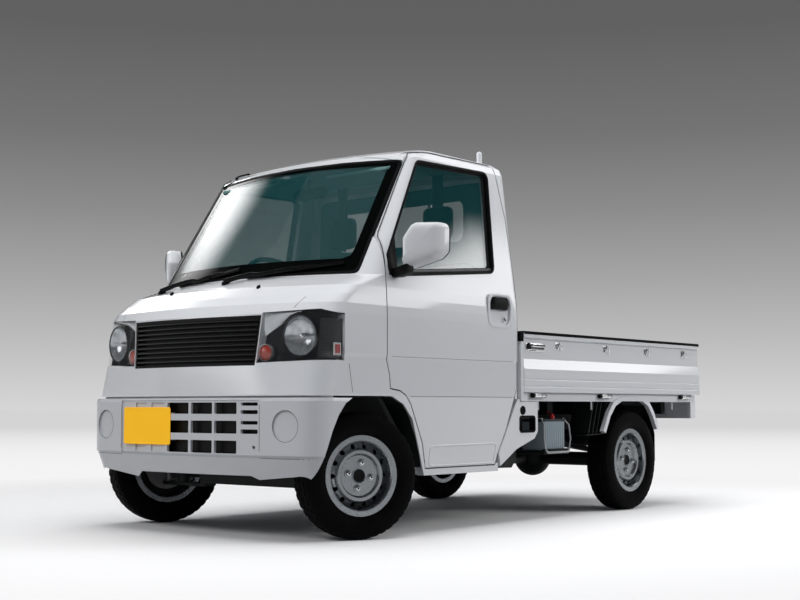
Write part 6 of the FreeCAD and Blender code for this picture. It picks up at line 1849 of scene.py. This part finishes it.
@dataclass
class Cabin:
    """Seats, dashboard, door panels and the small things seen through the glass."""

    spread: float = 0.327
    wheel_centre: tuple = (-0.355, -0.740, 1.200)
    wheel_tilt: float = 35.0
    outlets: tuple = (-0.60, -0.10, 0.10, 0.60)

    def seats(self) -> None:
        """Two seats with piping, and their head restraints on stalks from the roof."""
        for side, x in (("left", self.spread), ("right", -self.spread)):
            pads = [Seat(f"seat_cushion_{side}", (x - 0.235, -0.690, 0.6203), (x + 0.235, -0.250, 0.7253)),
                    Seat(f"seat_back_{side}", (x - 0.225, -0.345, 0.7256), (x + 0.225, -0.250, 1.2856), 1),
                    Seat(f"head_pad_{side}", (x - 0.0975, -0.335, 1.400), (x + 0.0975, -0.280, 1.580), 1,
                         0.008)]
            for pad, node in zip(pads, ("seat_cushions", "seat_backs", "head_restraints")):
                made = pad.build()
                if side == "left":
                    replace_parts(made, node)
            piping = Form().tube([(a, b, 0.672) for a, b in
                                  window(x - 0.232, x + 0.232, -0.686, -0.254, 0.05, 8, 0.04)], 0.004, 8,
                                  closed=True)
            piping.tube([(a, -0.298, b) for a,
                         b in window(x - 0.222, x + 0.222, 0.735, 1.276, 0.06, 8, 0.04)],
                        0.004, 8, closed=True)
            piping.piece(f"seat_piping_{side}", Look.SEAT_SIDE)
            stalk = Form().rings([[(x - 0.032, -0.3135, z), (x + 0.032, -0.3135, z), (x + 0.032, -0.3015, z),
                                   (x - 0.032, -0.3015, z)] for z in (1.52, 1.70, 1.7505)])
            stalk.piece(f"head_stalk_{side}", Look.CABIN_DARK, bevel=0.003)

    def dash(self) -> None:
        """Panels and outlets of the dashboard, and the hood over the instruments."""
        form, vanes, rows = Form(), Form(), []
        for x in self.outlets:
            form.box((x - 0.055, -1.022, 1.005), (x + 0.055, -1.004, 1.050))
            for z in (1.014, 1.023, 1.032, 1.041):
                vanes.box((x - 0.048, -1.006, z - 0.0015), (x + 0.048, -1.000, z + 0.0015))
        form.box((-0.10, -1.020, 0.880), (0.10, -1.002, 0.990))
        form.piece("dash_panels", Look.CABIN_DARK, bevel=0.004)
        for x in (-0.055, 0.0, 0.055):
            vanes.lathe([(0.0, 0.0), (0.0, 0.016), (0.012, 0.014), (0.014, 0.0)], (x, -1.002, 0.905),
                        (0, 1, 0), 24)
        vanes.piece("dash_outlets", Look.TRIM)
        for share in (2 * step / 12 - 1 for step in range(13)):
            rise = 0.055 * math.sqrt(max(0.0, 1 - share ** 4))
            rows.append([(self.wheel_centre[0] + 0.17 * share, y, z + rise * part) for y, z, part in (
                (-1.170, 1.095, 0.0), (-1.150, 1.096, 0.7), (-1.060, 1.098, 1.0), (-1.015, 1.095, 0.92),
                (-1.018, 1.088, 0.8), (-1.060, 1.075, 0.0))])
        Form().rings(rows).piece("instrument_hood", Look.CABIN_DARK, smooth=50)

    def controls(self) -> None:
        """Pad of the steering wheel, cover of its column, levers and pedals."""
        centre, tilt = Vector(self.wheel_centre), math.radians(self.wheel_tilt)
        axis = Vector((0, math.sin(tilt), math.cos(tilt)))
        Form().lathe([(0.0, 0.055), (0.010, 0.050), (0.016, 0.036), (0.018, 0.0)], centre + axis * 0.004,
                     axis,
                     40).piece("wheel_pad", Look.TRIM, "steering_wheel")
        Form().tube([centre - axis * down for down in (0.055, 0.10, 0.24, 0.30)],
                    [0.036, 0.046, 0.050, 0.046],
                    20).piece("column_shroud", Look.CABIN_DARK)
        stick = Form().tube([(0.0, -0.780, 0.400), (0.0, -0.770, 0.55), (-0.012, -0.740, 0.700),
                             (-0.015, -0.730, 0.745)], [0.010, 0.008, 0.007, 0.007], 12)
        stick.lathe([(-0.02, 0.0), (-0.02, 0.010), (0.0, 0.022), (0.02, 0.022), (0.034, 0.012),
                     (0.038, 0.0)],
                    (-0.015, -0.730, 0.745), (-0.02, 0.2, 1.0), 24)
        stick.tube([(0.075, -0.52, 0.640), (0.075, -0.58, 0.668), (0.075, -0.68, 0.690)],
                   [0.012, 0.010, 0.011], 12)
        stick.piece("cabin_levers", Look.TRIM)
        pedals, mats = Form(), Form()
        for x, wide in ((-0.46, 0.035), (-0.36, 0.035), (-0.26, 0.028)):
            pedals.box((x - wide, -0.955, 0.490), (x + wide, -0.945, 0.560))
            pedals.tube([(x, -0.952, 0.555), (x, -0.975, 0.62), (x, -0.985, 0.66)], 0.007, 10)
        pedals.piece("pedals", Look.TRIM, bevel=0.003)
        for x in (-0.34, 0.34):
            mats.box((x - 0.20, -0.93, 0.4005), (x + 0.20, -0.63, 0.408))
        mats.piece("floor_mats", Look.RUBBER, bevel=0.003)

    def inside_mirror(self) -> None:
        """Mirror and visors under the windscreen's upper edge."""
        pad = rounded(((-0.110, -0.028), (0.110, -0.028), (0.104, 0.030), (-0.104, 0.030)), 0.022, 6, 0.03)
        turn = Matrix.Translation((0.0, -0.90, 1.600)) @ Matrix.Rotation(math.radians(-12), 4, "X")
        form = Form().rings([[turn @ Vector((x * s, d, z * s)) for x, z in pad] for d, s in
                             ((-0.016, 0.7), (-0.012, 0.94), (-0.004, 1.0), (0.004, 1.0))])
        form.tube([turn @ Vector((0, -0.014, 0.0)), (0.0, -0.915, 1.64), (0.0, -0.905, 1.672)],
                  [0.010, 0.009, 0.014], 12)
        form.piece("inside_mirror", Look.TRIM, smooth=50)
        Form().plate([turn @ Vector((x * 0.95, 0.0045, z * 0.93)) for x, z in pad],
                     turn.to_3x3() @ Vector((0, -0.001, 0))).piece("inside_mirror_face", Look.MIRROR)
        visors = Form()
        for x in (-0.36, 0.36):
            visors.rings([[(a, b, 1.655 + (b + 0.98) * 0.22 + lift) for a, b in
                           window(x - 0.20, x + 0.20, -0.98, -0.84, 0.03, 6, 0.06)] for lift in (-0.008,
                                                                                                 0.008)])
        visors.piece("sun_visors", Look.LINER, bevel=0.004)

    def panels(self) -> None:
        """Inner door panels, roof lining, rear lining and the rear window's rubber."""
        form = Form().plate([(0.6850, y, z) for y, z in rounded(
            ((-1.130, 0.740), (-1.130, 1.105), (-0.330, 1.150), (-0.250, 0.520), (-0.900, 0.520)),
            0.03, 6, 0.1)], (-0.006, 0, 0))
        form.box((0.634, -0.860, 0.870), (0.682, -0.430, 0.905))
        form.box((0.660, -0.980, 0.560), (0.682, -0.560, 0.680))
        form.pair("door_lining", Look.CABIN, "door", bevel=0.006, steps=3)

        def lining(share: float, up: float) -> Point:
            """Point of the roof lining."""
            x = 0.60 * (2 * share - 1)
            return x, -0.94 + (0.94 - 0.30) * up, 1.7385 - 0.05 * abs(x / 0.60) ** 4

        Form().sheet(lining, 24, 8).piece("roof_lining", Look.LINER)
        hole = rounded(((-0.425, 1.400), (-0.425, 1.612), (0.425, 1.612), (0.425, 1.400)), 0.05, 8, 0.05)
        edge = rounded(((-0.600, 0.640), (-0.560, 1.690), (0.560, 1.690), (0.600, 0.640)), 0.05, 8, 0.05)
        middle = Vector((0.0, 1.5))
        outer = []
        for point in hole:
            ray = (Vector(point) - middle).normalized()
            outer.append(max(edge, key=lambda spot: (Vector(spot) - middle).normalized().dot(ray)))
        Form().rings([[(x, -0.224, z) for x, z in hole], [(x, -0.228, z) for x, z in outer]],
                     caps=False).piece(
            "rear_lining", Look.LINER)
        path = [(Vector((x, -0.172, z)), Vector((0, 1, 0))) for x, z in
                rounded(((-0.440, 1.386), (-0.440, 1.628), (0.440, 1.628), (0.440, 1.386)), 0.03, 8, 0.05)]
        Form().ribbon(path, strip(0.012, 0.0035, 0.010), True).piece("rear_window_seal", Look.SEAL)

    def build(self) -> None:
        """Build the cabin."""
        for part in (self.seats, self.dash, self.controls, self.inside_mirror, self.panels):
            part()


def main() -> None:
    """Build the looks in order."""
    logging.basicConfig(level=logging.INFO, format="%(name)s %(message)s")
    Studio().build()
    carry_over()
    nose = Nose()
    for part in (CabTrim(), Wipers(), DoorMirrors(), Headlamps(nose), FrontEnd(nose)):
        part.build()
    for wheel in wheels():
        wheel.tyre()
        wheel.fittings()
    for part in (BedTrim(), Underside(), Cabin()):
        part.build()


if __name__ == "__main__":
    main()
